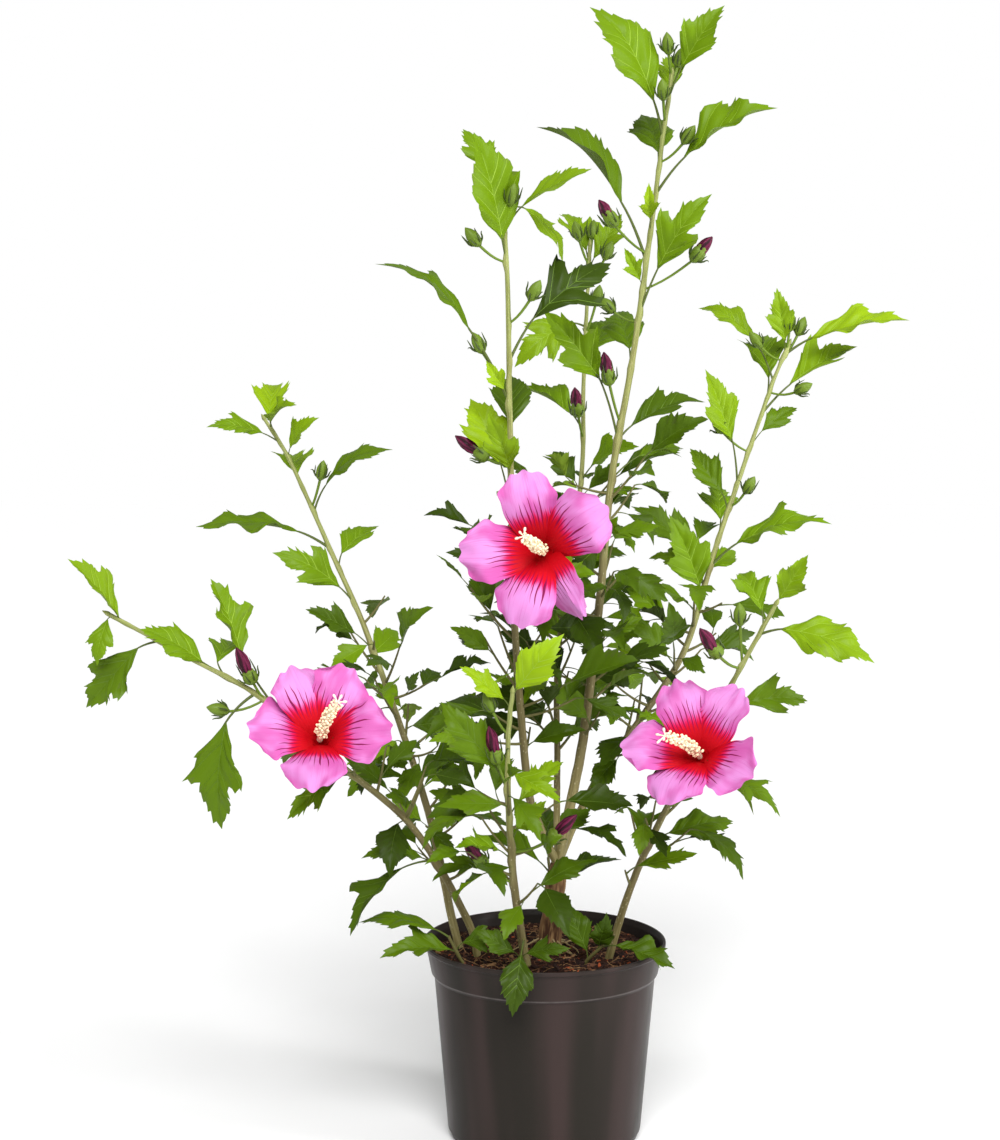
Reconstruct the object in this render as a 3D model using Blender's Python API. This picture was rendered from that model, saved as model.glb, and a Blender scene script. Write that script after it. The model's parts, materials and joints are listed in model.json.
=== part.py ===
"""Hibiscus shrub in a round nursery pot, in metres, +Z up.

The origin is the middle of the pot's flat underside, and the front is -Y. Eight canes rise from the compost
and from the fork of a short woody trunk. The foot of each cane is a bare bough; above it the cane carries
leaves, buds and side shoots, fused into masses that each own one stretch of the cane. Three blooms stand on
stalks of their own."""

from math import cos, pi, radians, sin

import bmesh
import bpy
import numpy as np

MM = 0.001
SEED = 11

# Pot and compost
RIM_RADIUS = 95 * MM
POT_HEIGHT = 155 * MM
POT_WALL = 1.6 * MM
POT_FLOOR = 3 * MM
BAND_FOOT = 131 * MM        # height of the rim band's lower edge
WALL_TOP_RADIUS = 86.6 * MM
WALL_FOOT_RADIUS = 76 * MM
POT_SIDES = 32
NOTCHES = 6
NOTCH = (8 * MM, 16 * MM, 4.8 * MM)     # cutter, half of it below the pot's underside
SOIL_TOP = 145.7 * MM
CLEARANCE = 0.3 * MM        # between pieces that touch on the real plant

# Looks: colour and roughness
PLASTIC = (0.045, 0.040, 0.038), 0.42
COMPOST = (0.055, 0.030, 0.018), 0.95
BARK = (0.20, 0.15, 0.07), 0.75
FOLIAGE = (0.10, 0.26, 0.03), 0.5
PETALS = (0.85, 0.25, 0.62), 0.55

# Trunk: height and radius in mm from the flat cut at the compost up to the fork
TRUNK_PROFILE = ((146, 14), (150, 10.8), (157, 8.9), (175, 8.2), (203, 8.0), (216, 5.5))
TRUNK_FOOT = (3, 0)         # mm; the trunk leans from here to the fork

# Growth
ROUTE_STEPS = 200
RING_STEP = 24 * MM         # between the rings of a cane's skin
SHOOT_STEPS = 6
SHOOT_BOW = 0.22            # how far a side shoot lifts, as a share of its length
SHOOT_LENGTH = (26, 46)     # mm
SHOOT_LEAVES = (0.5, 1.0)
SHOOT_LEAF_LENGTH = (34, 56)
GOLDEN = 137.5              # degrees from one side shoot to the next
STALK_LIFT = 0.7            # how much a stalk follows the cane before it turns out
STALK_BOW = 0.06
LONG_STALK = 20 * MM        # a longer stalk keeps its bow in the solid
STALK_RADIUS = 1.0 * MM
STALK_STEPS = 18            # of a bloom's stalk
PLANNED_GAP, OWN_GAP = 3 * MM, 0.0
SEEDED_GAP, SEEDED_OWN_GAP = 6 * MM, 5 * MM

# Leaf: a vein's start along the midrib, its reach outwards and how far it sweeps forwards per reach
LEAF_STATIONS = (0, 0.08, 0.20, 0.34, 0.46, 0.66, 1.0)
LEAF_REACH = (0.014, 0.14, 0.34, 0.19, 0.20, 0.10, 0.0)
LEAF_SWEEP = (0, 0.6, 0.85, 0.85, 0.85, 0.7, 0.0)
PLANNED_VEINS = (0, 2, 3, 4)   # the stations that a planned leaf's solid keeps, and a side shoot's
SMALL_VEINS = (0, 2, 3)
LEAF_THICK = 0.02           # of its length, at the midrib

# Bud and bloom
BUD_LENGTH = 18 * MM
BUD_RINGS = ((0.0, 0.0), (0.3, 5.2), (0.7, 4.6), (1.0, 0.6))    # share of its length, radius in mm
CUP_DEPTH = 10 * MM
PETAL_ROOT = 4              # mm from the cup's middle
PETAL_ROUND = 9             # mm that a petal's corners are cut back
PETAL_DIP = -2              # mm
PETAL_TILT = 0.16           # rise of a petal's leading edge per mm of width
PETAL_CLAW = 0.34           # width at the root, as a share of the widest
PETAL_WIDEST = 0.66         # where a petal is widest, from root to end
PETAL_NARROWING = 0.34      # how much less wide its end is
PETAL_STATIONS = (0, 0.35, 0.75, 1.0)
PETAL_THICK = 1.2 * MM
COLUMN_LENGTH = 42 * MM
COLUMN_RINGS = ((0.0, 1.6), (0.2, 3.0), (0.6, 4.6), (1.0, 2.4))

# ---------------------------------------------------------------- growth: canes, leaves, buds and blooms
# Route points are (x, y, z) in mm from the foot to the tip. A cane leaves the soil or the trunk's fork.
FORK = (10, 0, 215)
CANES = {
    "left_arch": [(-52, -14, 141), (-60, -20, 175), (-100, -50, 254), (-154, -80, 310), (-207, -100, 362),
                  (-263, -120, 398), (-315, -130, 429)],
    "left": [(-66, 6, 141), (-73, 8, 170), (-95, 40, 258), (-141, 90, 379), (-171, 120, 442),
             (-210, 150, 522), (-231, 160, 555)],
    "front": [(-14, -40, 141), (-20, -50, 180), (-25, -62, 222), (-29, -85, 286), (-29, -100, 332),
              (-26, -115, 370)],
    "low_right": [(48, -22, 141), (61, -45, 197), (78, -70, 250), (108, -100, 321), (133, -130, 381),
                  (159, -160, 440)],
    "inner_left": [FORK, (-4, -10, 247), (-14, -20, 285), (-24, -50, 411), (-26, -60, 476), (-28, -70, 580),
                   (-31, -80, 693), (-42, -80, 757)],
    "middle": [FORK, (10, 26, 248), (11, 56, 290), (13, 100, 370), (32, 140, 506), (34, 150, 578),
               (37, 170, 638), (40, 180, 699)],
    "tall": [FORK, (20, 4, 262), (31, 10, 320), (43, 20, 421), (52, 30, 514), (68, 35, 607), (80, 40, 692),
             (90, 45, 769), (98, 50, 827)],
    "right": [FORK, (24, 22, 243), (46, 50, 278), (78, 75, 316), (116, 100, 370), (142, 125, 449),
              (160, 140, 498), (190, 160, 580), (206, 170, 617)],
    "foot_front": [(-22, -56, 141), (-20, -65, 156), (-17, -75, 176)],
    "foot_left": [(-60, -36, 141), (-66, -42, 152), (-74, -46, 170)],
    "foot_right": [(28, -34, 141), (34, -42, 152), (44, -48, 164)],
    "foot_back": [(6, 46, 141), (8, 56, 170), (4, 66, 205)],
}
GROUND_CANES = ("left_arch", "left", "front", "low_right")
FORK_CANES = ("inner_left", "middle", "tall", "right")
FOOT_CANES = ("foot_front", "foot_left", "foot_right", "foot_back")
CANE_RADIUS = {"left_arch": 3.2, "left": 3.4, "front": 3.7, "low_right": 3.2, "inner_left": 3.4,
               "middle": 2.8, "tall": 4.2, "right": 3.4}   # mm at the foot
FOOT_CANE_RADIUS = 2.0                      # mm
CANE_TIP_RADIUS = 1.4                       # mm
FORK_STUB = 32                              # mm of each forked cane that belongs to the trunk

# Where each cane's bare bough ends, and where its leafy length is parted, as shares of its length.
MASSES = {
    "left_arch": ((0.13, 0.54, "left_arch_low_leaves"), (0.54, 1.0, "left_arch_tip_leaves")),
    "left": ((0.12, 0.50, "left_low_leaves"), (0.50, 1.0, "left_top_leaves")),
    "front": ((0.16, 1.0, "front_leaves"),),
    "low_right": ((0.16, 1.0, "low_right_leaves"),),
    "inner_left": ((0.14, 0.48, "inner_left_low_leaves"), (0.48, 1.0, "inner_left_top_leaves")),
    "middle": ((0.16, 0.52, "middle_low_leaves"), (0.52, 1.0, "middle_top_leaves")),
    "tall": ((0.16, 0.44, "tall_low_leaves"), (0.44, 0.66, "tall_middle_leaves"),
             (0.66, 1.0, "tall_top_leaves")),
    "right": ((0.16, 0.50, "right_low_leaves"), (0.50, 1.0, "right_top_leaves")),
    "foot_front": ((0.0, 1.0, "foot_front_leaves"),),
    "foot_left": ((0.0, 1.0, "foot_left_leaves"),),
    "foot_right": ((0.0, 1.0, "foot_right_leaves"),),
    "foot_back": ((0.0, 1.0, "foot_back_leaves"),),
}

# The leaves that shape the outline: share of the cane where the stalk leaves it, bearing from +X and rise
# above level in degrees, blade length in mm, how far the upper face turns from up to the front, stalk length
# in mm.
LEAVES = {
    "tall": [(0.92, 190, 60, 86, 32, 30), (0.97, 335, 55, 56, 60, 26), (0.85, 345, 30, 80, 32, 36),
             (0.765, 172, 46, 90, 12, 50), (0.80, 255, 50, 30, 85, 13), (0.70, 330, 55, 70, 55, 38),
             (0.73, 210, 55, 28, 80, 8), (0.54, 212, 48, 72, 80, 52), (0.54, 20, 20, 66, 20, 16),
             (0.49, 30, 5, 48, 15, 30), (0.96, 80, 45, 48, 30, 14), (0.88, 95, 35, 62, 20, 18),
             (0.63, 100, 30, 66, 20, 20)],
    "inner_left": [(0.86, 220, 68, 80, 34, 17), (0.90, 340, 25, 58, 30, 22), (0.93, 30, -40, 56, 30, 20),
                   (0.73, 25, 35, 78, 55, 38), (0.675, 192, 42, 84, 16, 62), (0.67, 210, 55, 26, 80, 14),
                   (0.53, 135, 60, 58, 60, 36), (0.57, 250, 57, 50, 75, 10), (0.96, 130, 50, 46, 30, 10),
                   (0.62, 85, 40, 56, 20, 16)],
    "middle": [(0.87, 205, -25, 62, 60, 12), (0.96, 25, 50, 48, 50, 12), (0.97, 110, 40, 56, 20, 14),
               (0.80, 60, 30, 62, 25, 20), (0.70, 140, 25, 60, 20, 18), (0.62, 320, 30, 52, 40, 16)],
    "right": [(0.98, 225, 70, 44, 85, 12), (0.98, 345, 10, 82, 30, 26), (0.93, 160, 35, 58, 25, 38),
              (0.87, 20, 25, 72, 20, 36), (0.74, 210, 60, 62, 60, 38), (0.81, 25, 35, 38, 60, 17),
              (0.69, 145, 45, 50, 60, 16), (0.59, 340, 20, 80, 20, 28), (0.55, 160, 45, 66, 25, 28),
              (0.53, 225, 60, 66, 70, 12), (0.90, 95, 40, 64, 20, 20), (0.64, 90, 25, 62, 20, 22)],
    "low_right": [(0.98, 320, 55, 40, 80, 12), (0.92, 340, -10, 70, 45, 18), (0.69, 10, 10, 52, 60, 22),
                  (0.52, 330, -20, 52, 15, 36), (0.94, 110, 35, 48, 20, 12), (0.78, 250, 10, 50, 40, 14),
                  (0.34, 20, 5, 56, 30, 18)],
    "left": [(0.95, 205, 10, 48, 30, 16), (0.98, 300, 25, 40, 50, 8), (0.92, 325, 45, 38, 40, 8),
             (0.81, 345, 35, 64, 20, 24), (0.74, 195, 5, 86, 12, 28), (0.63, 200, 35, 62, 50, 18),
             (0.54, 205, 25, 46, 50, 20), (0.54, 95, 50, 58, 65, 18), (0.97, 95, 35, 52, 20, 16),
             (0.86, 100, 15, 58, 20, 18), (0.70, 60, 25, 52, 20, 16)],
    "left_arch": [(0.97, 208, 50, 57, 26, 6), (0.905, 165, -50, 62, 58, 16), (0.765, 205, 36, 54, 40, 24),
                  (0.71, 205, -84, 80, 6, 30), (0.668, 155, 66, 62, 5, 44), (0.474, 200, -28, 50, 60, 10),
                  (0.995, 232, -66, 34, 24, 4), (0.775, 80, 10, 52, 20, 16), (0.215, 195, 10, 46, 30, 16),
                  (0.23, 198, -46, 64, 0, 28)],
    "front": [(0.98, 335, 50, 54, 75, 8), (0.65, 200, 50, 66, 75, 22), (0.71, 316, -20, 44, 60, 8),
              (0.46, 320, 45, 36, 70, 16), (0.94, 190, 35, 40, 50, 10), (0.56, 30, 30, 50, 30, 14),
              (0.40, 215, 15, 44, 30, 16)],
    "foot_front": [(0.95, 252, -55, 46, 88, 22), (0.50, 330, 20, 36, 60, 8), (0.50, 190, 25, 34, 60, 8)],
    "foot_left": [(0.55, 192, 6, 56, 25, 5), (0.95, 175, 10, 60, 10, 12), (0.60, 335, 18, 38, 60, 10)],
    "foot_right": [(0.70, 280, 55, 34, 70, 8), (0.90, 340, -12, 50, 20, 12), (0.35, 150, 62, 42, 55, 8)],
    "foot_back": [(0.60, 20, 15, 52, 10, 14), (0.80, 160, 20, 54, 10, 14), (0.95, 90, 30, 56, 10, 12)],
}

# Buds: share, bearing, rise, stalk length in mm, and how far the furled petals show, from 0 to 1.
BUDS = {
    "tall": [(0.775, 200, 38, 34, 0.4), (0.94, 255, 65, 18, 0), (1.00, 240, 70, 16, 0), (0.89, 330, 35, 24, 0),
             (0.73, 345, 30, 44, 0.4), (0.56, 230, 65, 34, 0.6), (0.69, 150, 20, 22, 0),
             (0.99, 40, 60, 14, 0)],
    "inner_left": [(0.86, 200, 30, 24, 0), (0.91, 300, 55, 16, 0), (0.78, 335, 45, 24, 0),
                   (0.70, 185, 50, 30, 0), (0.595, 160, 8, 18, 1)],
    "middle": [(0.97, 210, 65, 22, 0), (0.98, 70, 65, 18, 0), (0.94, 345, 55, 24, 0), (0.86, 315, 65, 26, 0),
               (0.69, 250, 55, 22, 0.6)],
    "right": [(0.99, 295, 75, 16, 0), (0.98, 15, 55, 20, 0), (0.97, 200, 30, 22, 0), (0.91, 335, 0, 22, 0),
              (0.80, 200, 35, 28, 0), (0.70, 325, 40, 18, 0)],
    "low_right": [(0.84, 250, 75, 30, 0), (0.83, 225, 25, 26, 1)],
    "left": [(0.82, 315, 65, 26, 0)],
    "left_arch": [(0.69, 200, -15, 28, 0), (0.68, 215, 50, 20, 1)],
    "front": [(0.90, 265, 65, 18, 0), (0.85, 205, 55, 22, 0), (0.67, 230, 60, 22, 1), (0.43, 338, 22, 32, 1),
              (0.32, 212, 32, 30, 1)],
}

# Side shoots: first and last share of the cane that bears them, how many, and the first one's bearing.
SHOOTS = {
    "left_arch": (0.24, 0.62, 3, 60), "left": (0.16, 0.52, 6, 330), "front": (0.22, 0.60, 3, 80),
    "low_right": (0.24, 0.60, 4, 70), "inner_left": (0.18, 0.48, 6, 200), "middle": (0.20, 0.60, 7, 250),
    "tall": (0.20, 0.50, 6, 20), "right": (0.20, 0.52, 6, 300),
}

# Blooms: cane, share where the stalk leaves it, place of the cup in mm, direction faced, petal bearings round
# the face from its right-hand side, the petals' scale, and how far right and up the column's end leans in mm.
BLOOMS = {
    "bloom_middle": ("inner_left", 0.37, (-3, -84, 470), (-0.16, -0.97, 0.15), (34, 104, 184, 256, 303), 1.08,
                     (-8, 8)),
    "bloom_left": ("left_arch", 0.54, (-165, -130, 338), (0.08, -0.80, 0.60), (62, 112, 181, 262, 354), 0.96,
                   (12, 8)),
    "bloom_right": ("low_right", 0.46, (108, -143, 328), (-0.26, -0.74, 0.62), (59, 114, 187, 257, 332), 0.98,
                    (-15, -7)),
}
PETAL = 55          # mm from the cup's centre to a petal's end, across the face
PETAL_HALF = 24     # mm, half a petal's width
FUNNEL = 27         # mm that the petals' ends stand ahead of the cup


def unit(v):
    """The vector scaled to length one."""
    v = np.asarray(v, float)
    return v / np.linalg.norm(v)


def heading(bearing, rise):
    """Unit vector with this bearing from +X and this rise above level, in degrees."""
    b, r = radians(bearing), radians(rise)
    return np.array([cos(r) * cos(b), cos(r) * sin(b), sin(r)])


def smooth_route(points):
    """Catmull-Rom curve through the points: on each span a cubic whose end slopes are half the chord between
    the points on either side. Resampled to ROUTE_STEPS + 1 points at equal lengths, in metres."""
    p = np.asarray(points, float) * MM
    padded = np.vstack([2 * p[0] - p[1], p, 2 * p[-1] - p[-2]])
    t = np.linspace(0, 1, 24, endpoint=False)[:, None]
    spans = [0.5 * (2 * b + (c - a) * t + (2 * a - 5 * b + 4 * c - d) * t ** 2
                    + (3 * b - a - 3 * c + d) * t ** 3)
             for a, b, c, d in zip(padded[:-3], padded[1:-2], padded[2:-1], padded[3:])]
    fine = np.vstack(spans + [p[-1:]])
    run = np.r_[0, np.cumsum(np.linalg.norm(np.diff(fine, axis=0), axis=1))]
    even = np.linspace(0, run[-1], ROUTE_STEPS + 1)
    return np.stack([np.interp(even, run, fine[:, k]) for k in range(3)], axis=1)


ROUTES = {name: smooth_route(points) for name, points in CANES.items()}
RUNS = {name: np.linalg.norm(np.diff(line, axis=0), axis=1).sum() for name, line in ROUTES.items()}


def cane_place(cane, share):
    """Point and unit direction of the cane at a share of its length."""
    line = ROUTES[cane]
    i = share * ROUTE_STEPS
    point = np.array([np.interp(i, np.arange(ROUTE_STEPS + 1), line[:, k]) for k in range(3)])
    j = int(min(max(i, 2), ROUTE_STEPS - 2))
    return point, unit(line[j + 2] - line[j - 2])


def cane_radius(cane, share):
    """The cane's radius in metres: an even taper from foot to tip."""
    foot = CANE_RADIUS.get(cane, FOOT_CANE_RADIUS)
    return (foot + (CANE_TIP_RADIUS - foot) * share) * MM


def mass_at(cane, share):
    """The mass that owns this share of the cane."""
    return next(name for start, end, name in MASSES[cane] if share <= end)


class Leaf:
    """A stalk and a blade. The blade's frame is its axis, its side and its normal."""

    def __init__(self, root, lean, bearing, rise, length, face, stalk, sway, tone, planned):
        self.root, self.axis, self.length = root, heading(bearing, rise), length * MM
        self.stalk, self.tone, self.planned = stalk * MM, tone, planned
        self.base = root + stalk * MM * unit(self.axis + STALK_LIFT * lean)
        self.knee = (root + self.base) / 2 + STALK_BOW * stalk * MM * lean
        wanted = np.array([0, -sin(radians(face)), cos(radians(face))])
        self.normal = unit(wanted - wanted @ self.axis * self.axis)
        self.side = np.cross(self.normal, self.axis)
        self.bend, self.fold, self.twist = sway

    def surface(self, u, v, reach, sweep):
        """Point of the blade at u along the midrib and v across it. A vein leaves the midrib at u and runs
        outwards by reach and forwards by reach x sweep; the halves are folded up, the midrib bows, the whole
        twists."""
        along = u + np.abs(v) * reach * sweep
        across = v * reach * cos(self.fold)
        lift = np.abs(v) * reach * sin(self.fold) + self.bend * along * (1 - along) / 2
        turn = self.twist * (along - 0.3)
        flat = across * np.cos(turn) - lift * np.sin(turn)
        high = across * np.sin(turn) + lift * np.cos(turn)
        frame = np.array([self.axis, self.side, self.normal])
        return self.base + self.length * np.stack([along, flat, high], axis=-1) @ frame

    def samples(self):
        """Points spread over the blade, for the clearance test."""
        u, v = np.meshgrid(np.linspace(0.04, 1, 11), np.linspace(-1, 1, 7), indexing="ij")
        reach = np.interp(u, LEAF_STATIONS, LEAF_REACH)
        sweep = np.interp(u, LEAF_STATIONS, LEAF_SWEEP)
        return self.surface(u, v, reach, sweep).reshape(-1, 3)

    def stem(self):
        """Points along the stalk."""
        return np.array([self.root, (self.root + self.knee) / 2, self.knee, (self.knee + self.base) / 2])


class Bud:
    """A stalk and a bud on its end."""

    def __init__(self, root, bearing, rise, stalk, ripe, size):
        self.root, self.axis, self.ripe, self.size = root, heading(bearing, rise), ripe, size
        self.neck = root + stalk * MM * self.axis
        self.end = self.neck + BUD_LENGTH * size * unit(self.axis + np.array([0, 0, 0.5]))

    def samples(self):
        """Points along the bud."""
        return np.vstack([self.neck, (self.neck + self.end) / 2, self.end])

    def stem(self):
        """Points along the stalk."""
        return self.root + np.array([[0], [0.25], [0.5], [0.75]]) * (self.neck - self.root)


class Shoot:
    """A short side twig: a line that bows upwards from its root."""

    def __init__(self, root, bearing, rise, length):
        t = np.linspace(0, 1, SHOOT_STEPS + 1)[:, None]
        up = SHOOT_BOW * t ** 2 * np.array([0, 0, 1.0])
        self.line = root + length * MM * (t * heading(bearing, rise) + up)
        self.bearing, self.rise = bearing, rise

    def place(self, share):
        """Point and unit direction at a share of the shoot's length."""
        i = share * SHOOT_STEPS
        point = np.array([np.interp(i, np.arange(SHOOT_STEPS + 1), self.line[:, k]) for k in range(3)])
        j = min(int(i), SHOOT_STEPS - 1)
        return point, unit(self.line[j + 1] - self.line[j])

    def end_at(self, share):
        """Cuts the twig off at its last leaf."""
        self.reach = share
        self.line = self.line[:int(np.ceil(share * SHOOT_STEPS)) + 1]

    def samples(self):
        """Points along the outer part of the twig."""
        return self.line[2:]

    def stem(self):
        """The points nearest its root."""
        return self.line[:2]


def petal_width(t):
    """A petal's width at t as a share of its widest: a smooth step up from its claw, then a parabola down."""
    x = np.clip(t / PETAL_WIDEST, 0, 1)
    past = np.clip((t - PETAL_WIDEST) / (1 - PETAL_WIDEST), 0, 1)
    return PETAL_CLAW + (1 - PETAL_CLAW) * x ** 2 * (3 - 2 * x) - PETAL_NARROWING * past ** 2


class Bloom:
    """A flower on its stalk: the face's axis, its upward and rightward directions, the petals' bearings."""

    def __init__(self, cane, share, cup, facing, bearings, scale, lean):
        point, along = cane_place(cane, share)
        self.axis = unit(facing)
        self.up = unit(np.array([0, 0, 1.0]) - self.axis[2] * self.axis)
        self.right = np.cross(self.up, self.axis)
        self.lean = (lean[0] * self.right + lean[1] * self.up) * MM
        self.cup, self.bearings, self.scale = np.array(cup, float) * MM, bearings, scale
        back = self.cup - 2 * CUP_DEPTH * self.axis
        self.away = unit((back - point) - (back - point) @ along * along)
        self.root = point + (cane_radius(cane, share) + CLEARANCE) * self.away
        t = np.linspace(0, 1, STALK_STEPS + 1)[:, None]
        handles = [self.root, self.root + 8 * MM * self.away, back - 6 * MM * self.axis,
                   self.cup - CUP_DEPTH * self.axis]
        weights = [(1 - t) ** 3, 3 * t * (1 - t) ** 2, 3 * t ** 2 * (1 - t), t ** 3]
        self.stalk = sum(w * h for w, h in zip(weights, handles))

    def petal(self, bearing, t, v):
        """Point of a petal at t from cup to end and v across: it climbs out of the funnel and flattens,
        widens and rounds off, its section dips along the middle, one edge stands over the next petal's."""
        b = radians(bearing)
        out = cos(b) * self.right + sin(b) * self.up
        across = cos(b) * self.up - sin(b) * self.right
        far = (PETAL_ROOT + (PETAL - PETAL_ROOT) * t) * self.scale * MM
        high = FUNNEL * self.scale * MM * (1 - (1 - t) ** 2)
        half = PETAL_HALF * self.scale * MM * petal_width(t)
        rounding = PETAL_ROUND * MM * np.clip(t - 0.5, 0, 1) * 2 * v ** 2
        dip = PETAL_DIP * MM * t * v ** 2 + PETAL_TILT * v * half
        return (self.cup + (far - rounding)[..., None] * out + (v * half)[..., None] * across
                + (high + dip)[..., None] * self.axis)

    def column(self, t):
        """Point of the staminal column at t from cup to end: it curves away from the axis by its lean."""
        return self.cup + t[:, None] * COLUMN_LENGTH * self.axis + t[:, None] ** 2 * self.lean

    def samples(self):
        """Points spread over the petals and along the stalk."""
        t, v = np.meshgrid(np.linspace(0.1, 1, 8), np.linspace(-1, 1, 7), indexing="ij")
        petals = [self.petal(b, t, v).reshape(-1, 3) for b in self.bearings]
        return np.vstack(petals + [self.stalk])


class Space:
    """What has been placed, as clouds of points, each with the mass it belongs to."""

    def __init__(self):
        self.clouds = []

    def add(self, mass, points, girth=0.0):
        centre = points.mean(axis=0)
        self.clouds.append((mass, points, centre, np.linalg.norm(points - centre, axis=1).max(), girth))

    def free(self, mass, host, points, stem, gap, own_gap):
        """True where the points keep own_gap to their own mass and host cane, and both they and the stem keep
        the gap to everything else."""
        whole = np.vstack([points, stem])
        centre = whole.mean(axis=0)
        radius = np.linalg.norm(whole - centre, axis=1).max()
        for owner, cloud, middle, spread, girth in self.clouds:
            own = owner in (mass, host)
            need = (own_gap if own else gap) + girth
            if np.linalg.norm(middle - centre) > radius + spread + need:
                continue
            if np.linalg.norm((points if own else whole)[:, None] - cloud[None], axis=2).min() < need:
                return False
        return True


def in_pot(points):
    """True where a point would touch the pot or sink into the soil."""
    far = np.hypot(points[:, 0], points[:, 1])
    over_soil = (far < RIM_RADIUS - 4 * MM) & (points[:, 2] < SOIL_TOP + 4 * MM)
    at_wall = (abs(far - RIM_RADIUS) <= 5 * MM) & (points[:, 2] < POT_HEIGHT + 3 * MM)
    return bool((over_soil | at_wall).any())


def grow():
    """Everything that grows, in order: canes, blooms, the planned leaves and buds, then side shoots by a
    seeded rule. A leaf, bud or shoot that would touch what is already there is skipped."""
    space, grown = Space(), {name: [] for parts in MASSES.values() for _, _, name in parts}
    blooms = {name: Bloom(*plan) for name, plan in BLOOMS.items()}
    for cane, line in ROUTES.items():
        space.add(cane, line, cane_radius(cane, 0.3))
    for name, bloom in blooms.items():
        space.add(name, bloom.samples())

    def place(piece, mass, host, gap, own_gap):
        points, stem = piece.samples(), piece.stem()
        if in_pot(points) or not space.free(mass, host, points, stem, gap, own_gap):
            return False
        space.add(mass, np.vstack([points, stem]))
        grown[mass].append(piece)
        return True

    for cane, plan in LEAVES.items():
        rng = np.random.default_rng(SEED + len(cane))
        for share, bearing, rise, length, face, stalk in plan:
            point, lean = cane_place(cane, share)
            sway = (rng.uniform(0.25, 0.6), radians(rng.uniform(12, 28)), rng.uniform(-0.35, 0.35))
            tone = leaf_tone(share, length)
            leaf = Leaf(point, lean, bearing, rise, length, face, stalk, sway, tone, True)
            place(leaf, mass_at(cane, share), cane, PLANNED_GAP, OWN_GAP)
    for cane, plan in BUDS.items():
        for share, bearing, rise, stalk, ripe in plan:
            point, _ = cane_place(cane, share)
            bud = Bud(point, bearing, rise, stalk, ripe, 1.15 if ripe else 0.95)
            place(bud, mass_at(cane, share), cane, PLANNED_GAP, OWN_GAP)
    for cane, (first, last, count, bearing) in SHOOTS.items():
        rng = np.random.default_rng(SEED * 10 + len(cane))
        for i in range(count):
            share = first + (last - first) * (i + rng.uniform(0.2, 0.8)) / count
            point, _ = cane_place(cane, share)
            length, rise = rng.uniform(*SHOOT_LENGTH), rng.uniform(15, 45)
            for attempt in range(6):
                shoot = Shoot(point, bearing + GOLDEN * i + 55 * attempt, rise, length)
                if place(shoot, mass_at(cane, share), cane, SEEDED_GAP, OWN_GAP):
                    shoot.end_at(dress_shoot(shoot, mass_at(cane, share), cane, rng, place))
                    if not shoot.reach:
                        grown[mass_at(cane, share)].remove(shoot)
                    break
    return grown, blooms, place


def dress_shoot(shoot, mass, host, rng, place):
    """Leaves on a side shoot: alternate sides, and one that carries on from its tip. Returns the share of the
    shoot at its last leaf."""
    reach = 0
    for k, share in enumerate(SHOOT_LEAVES):
        point, lean = shoot.place(share)
        length = rng.uniform(*SHOOT_LEAF_LENGTH)
        rise, face = rng.uniform(-15, 40), rng.uniform(0, 60)
        sway = (rng.uniform(0.25, 0.6), radians(rng.uniform(12, 28)), rng.uniform(-0.35, 0.35))
        spread = 0 if share == 1 else (55 if k % 2 else -55)
        for attempt in range(3):
            bearing = shoot.bearing + spread + 25 * attempt
            leaf = Leaf(point, lean, bearing, rise, length, face, 9, sway, 0, False)
            if place(leaf, mass, host, SEEDED_GAP, SEEDED_OWN_GAP):
                reach = share
                break
    return reach


def leaf_tone(share, length):
    """0 for an old dark leaf, 1 for a full one, 2 for the young bright ones at a cane's end."""
    if share > 0.9 or length < 38:
        return 2
    return 1 if share > 0.5 else 0


# ---------------------------------------------------------------- meshes
def material(name, colour, roughness):
    """Principled material of one colour."""
    made = bpy.data.materials.new(name)
    made.use_nodes = True
    shader = made.node_tree.nodes["Principled BSDF"]
    shader.inputs["Base Color"].default_value = (*colour, 1)
    shader.inputs["Roughness"].default_value = roughness
    return made


def solid(name, bm):
    """Object from a bmesh whose faces are turned outwards."""
    bmesh.ops.recalc_face_normals(bm, faces=bm.faces)
    mesh = bpy.data.meshes.new(name)
    bm.to_mesh(mesh)
    bm.free()
    made = bpy.data.objects.new(name, mesh)
    bpy.context.scene.collection.objects.link(made)
    return made


def loft(name, rings, tip=None):
    """Closed skin over a run of rings with equal counts of points, ending in a point or in a flat cap."""
    bm = bmesh.new()
    rows = [[bm.verts.new(p) for p in ring] for ring in rings]
    count = len(rows[0])
    for low, high in zip(rows, rows[1:]):
        for i in range(count):
            j = (i + 1) % count
            bm.faces.new((low[i], low[j], high[j], high[i]))
    bm.faces.new(rows[0])
    if tip is None:
        bm.faces.new(rows[-1])
    else:
        point = bm.verts.new(tip)
        for i in range(count):
            bm.faces.new((rows[-1][i], rows[-1][(i + 1) % count], point))
    bmesh.ops.triangulate(bm, faces=bm.faces)
    return solid(name, bm)


def across(line):
    """Two unit vectors square to the line at each of its points, carried along it without twist."""
    ahead = np.gradient(line, axis=0)
    ahead /= np.linalg.norm(ahead, axis=1)[:, None]
    start = np.array([1.0, 0, 0]) if abs(ahead[0][0]) < 0.8 else np.array([0, 1.0, 0])
    sides = []
    for direction in ahead:
        start = unit(start - start @ direction * direction)
        sides.append(start)
    sides = np.array(sides)
    return sides, np.cross(ahead, sides)


def tube_rings(line, radii, count):
    """Rings of a tube: a circle of each radius, square to the line at each of its points."""
    sides, lifts = across(line)
    angle = 2 * pi * np.arange(count) / count
    return [p + r * (np.cos(angle)[:, None] * s + np.sin(angle)[:, None] * t)
            for p, r, s, t in zip(line, radii, sides, lifts)]


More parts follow.
